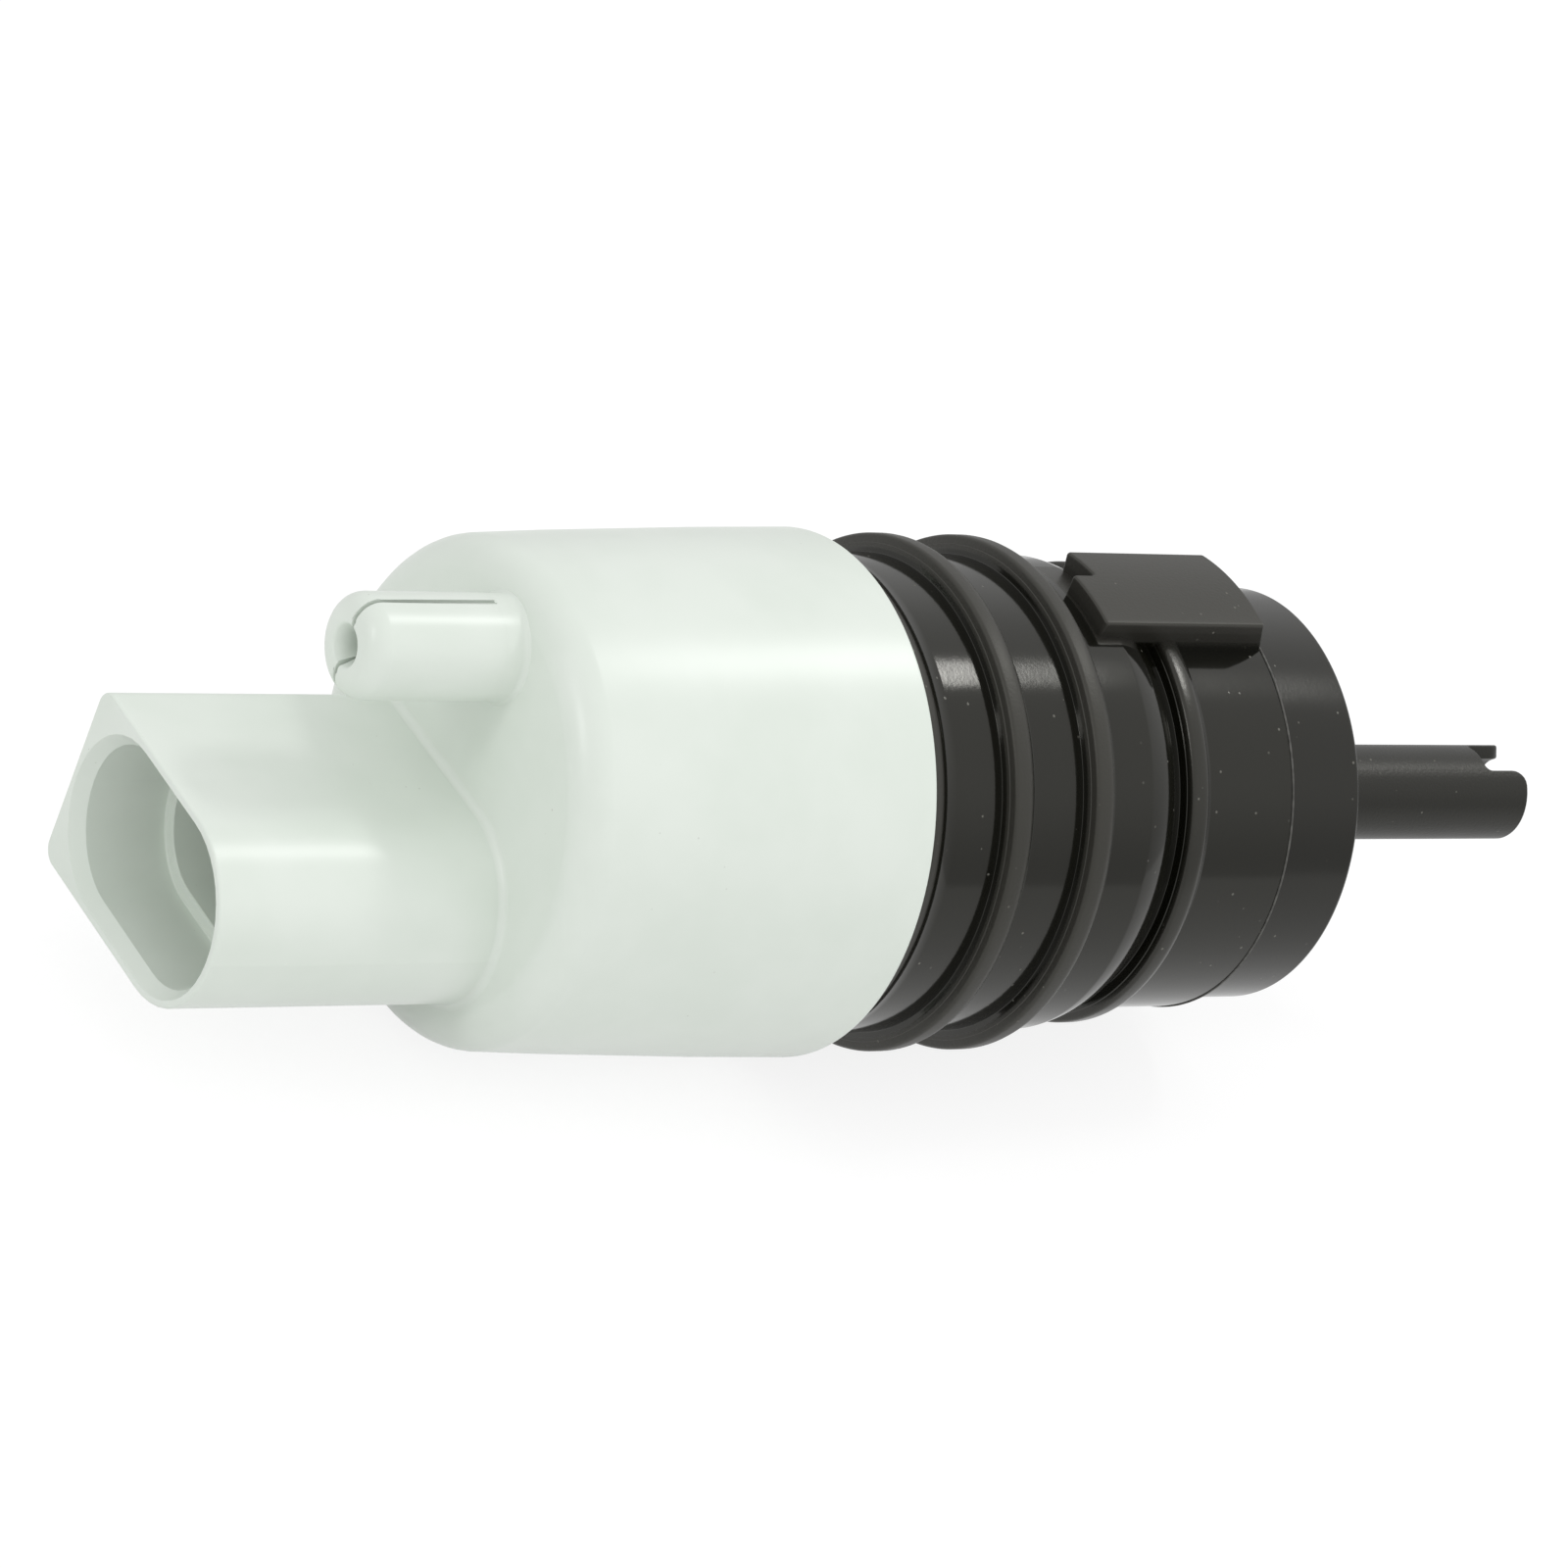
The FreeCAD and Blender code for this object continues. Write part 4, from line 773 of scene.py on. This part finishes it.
# %% Floor
FLOOR_HEIGHT = -17.02
FLOOR_HALF = 3.0
SHEET_EDGE, SHEET_FADED = 0.13, 0.16


def floor_material():
    material = bpy.data.materials.new("floor")
    stage = Stage(material, "ShaderNodeOutputMaterial")
    paint = stage.shader("ShaderNodeBsdfDiffuse", grey(0.8))
    lifted = stage.shader("ShaderNodeAddShader", stage.shader("ShaderNodeBsdfDiffuse", grey(0.22)),
                          stage.shader("ShaderNodeEmission", WHITE, 0.84))
    place = stage.node("ShaderNodeTexCoord", {}).outputs["Object"]
    distance = stage.node("ShaderNodeVectorMath", {"operation": "LENGTH"}, place).outputs["Value"]
    sheet = stage.shader("ShaderNodeMapRange", distance, SHEET_EDGE, SHEET_FADED, 0.86, 0.62)
    stage.choose(paint, stage.shader("ShaderNodeEmission", WHITE, sheet), lifted)
    return material


ground = bmesh.new()
bmesh.ops.create_grid(ground, x_segments=1, y_segments=1, size=FLOOR_HALF)
bmesh.ops.translate(ground, verts=ground.verts, vec=(0, 0, FLOOR_HEIGHT * MM))
ground_mesh = bpy.data.meshes.new("floor")
ground.to_mesh(ground_mesh)
ground.free()
ground_mesh.materials.append(floor_material())
floor = bpy.data.objects.new("floor", ground_mesh)
bpy.context.scene.collection.objects.link(floor)
print("floor at", FLOOR_HEIGHT, "mm")

# %% World
BRIGHTER_WAY = (0.1, -0.19, -0.04)
world = bpy.data.worlds.new("white room")
sky = Stage(world, "ShaderNodeOutputWorld")
way = sky.node("ShaderNodeTexCoord", {}).outputs["Generated"]
# the room is a little brighter on the camera's side and towards the inlet stub
tilt = sky.node("ShaderNodeVectorMath", {"operation": "DOT_PRODUCT"}, way, BRIGHTER_WAY)
room = sky.node("ShaderNodeMath", {"operation": "ADD"}, tilt.outputs["Value"], 0.905).outputs[0]
# what gloss mirrors: dimmer near the horizon
rise = sky.node("ShaderNodeSeparateXYZ", {}, way).outputs["Z"]
mirrored = sky.node("ShaderNodeMapRange", SMOOTH_STEP, rise, -0.05, 0.55, 0.62, 0.92).outputs[0]
sky.choose(*(sky.shader("ShaderNodeBackground", WHITE, level) for level in (room, mirrored, 1.0)))
bpy.context.scene.world = world
print("world nodes:", len(sky.tree.nodes))

# %% [markdown]
# ## Lamps
# Nearly all the light comes from the white room. Four soft boxes draw the highlights: the key
# makes the crisp light bar on the first black flat, a short dim one continues it on the next, a
# third makes the broad bright patch on the cap, and the last one the light line down the cap's
# rounding. Their places follow from the mirror rule: the way back to the camera, turned about the
# way that the skin faces at the highlight.

# %% Soft boxes
LAMP_DISTANCE = 1.2


def mirrored_way(target, outward):
    """The way that the camera sees mirrored where the pump's skin faces outward."""
    back = (camera.location - Vector(target) * MM).normalized()
    outward = Vector(outward).normalized()
    return 2 * outward.dot(back) * outward - back


def soft_box(name, target, outward, along, across, watts):
    """A rectangle of light that the camera sees mirrored at the target."""
    way = mirrored_way(target, outward)
    data = bpy.data.lights.new(name, "AREA")
    data.shape = "RECTANGLE"
    data.size = along
    data.size_y = across
    data.energy = watts
    lamp = bpy.data.objects.new(name, data)
    bpy.context.scene.collection.objects.link(lamp)
    side = (Vector((1, 0, 0)) - way * way.x).normalized()
    facing = Matrix((side, way.cross(side), way)).transposed().to_4x4()
    lamp.matrix_world = Matrix.Translation(Vector(target) * MM + way * LAMP_DISTANCE) @ facing
    print(name, "at", [round(value, 2) for value in lamp.location])


SHOULDER = (0, -0.429, 0.903)
LAMPS = {
    # name: target, the way the skin faces there, size along the pump, size across, watts
    "key": ((-50.0, -7, 14), SHOULDER, 0.116, 0.2, 0.29),
    "key_end": ((-26.0, -7, 14), SHOULDER, 0.02, 0.12, 0.006),
    "cap_light": ((-53.0, -7, 15), SHOULDER, 0.09, 0.26, 1.3),
    "round_light": ((-61.7, -9.6, 12.1), (-0.77, -0.395, 0.5), 0.42, 0.16, 1.3),
}
for name, lamp_settings in LAMPS.items():
    soft_box(name, *lamp_settings)

# %% [markdown]
# ## View transform
# The render shows its colours plainly, through the Standard view transform. The dressed pump
# must stay in the CAD model's box.

# %% Finish
bpy.context.scene.view_settings.view_transform = "Standard"
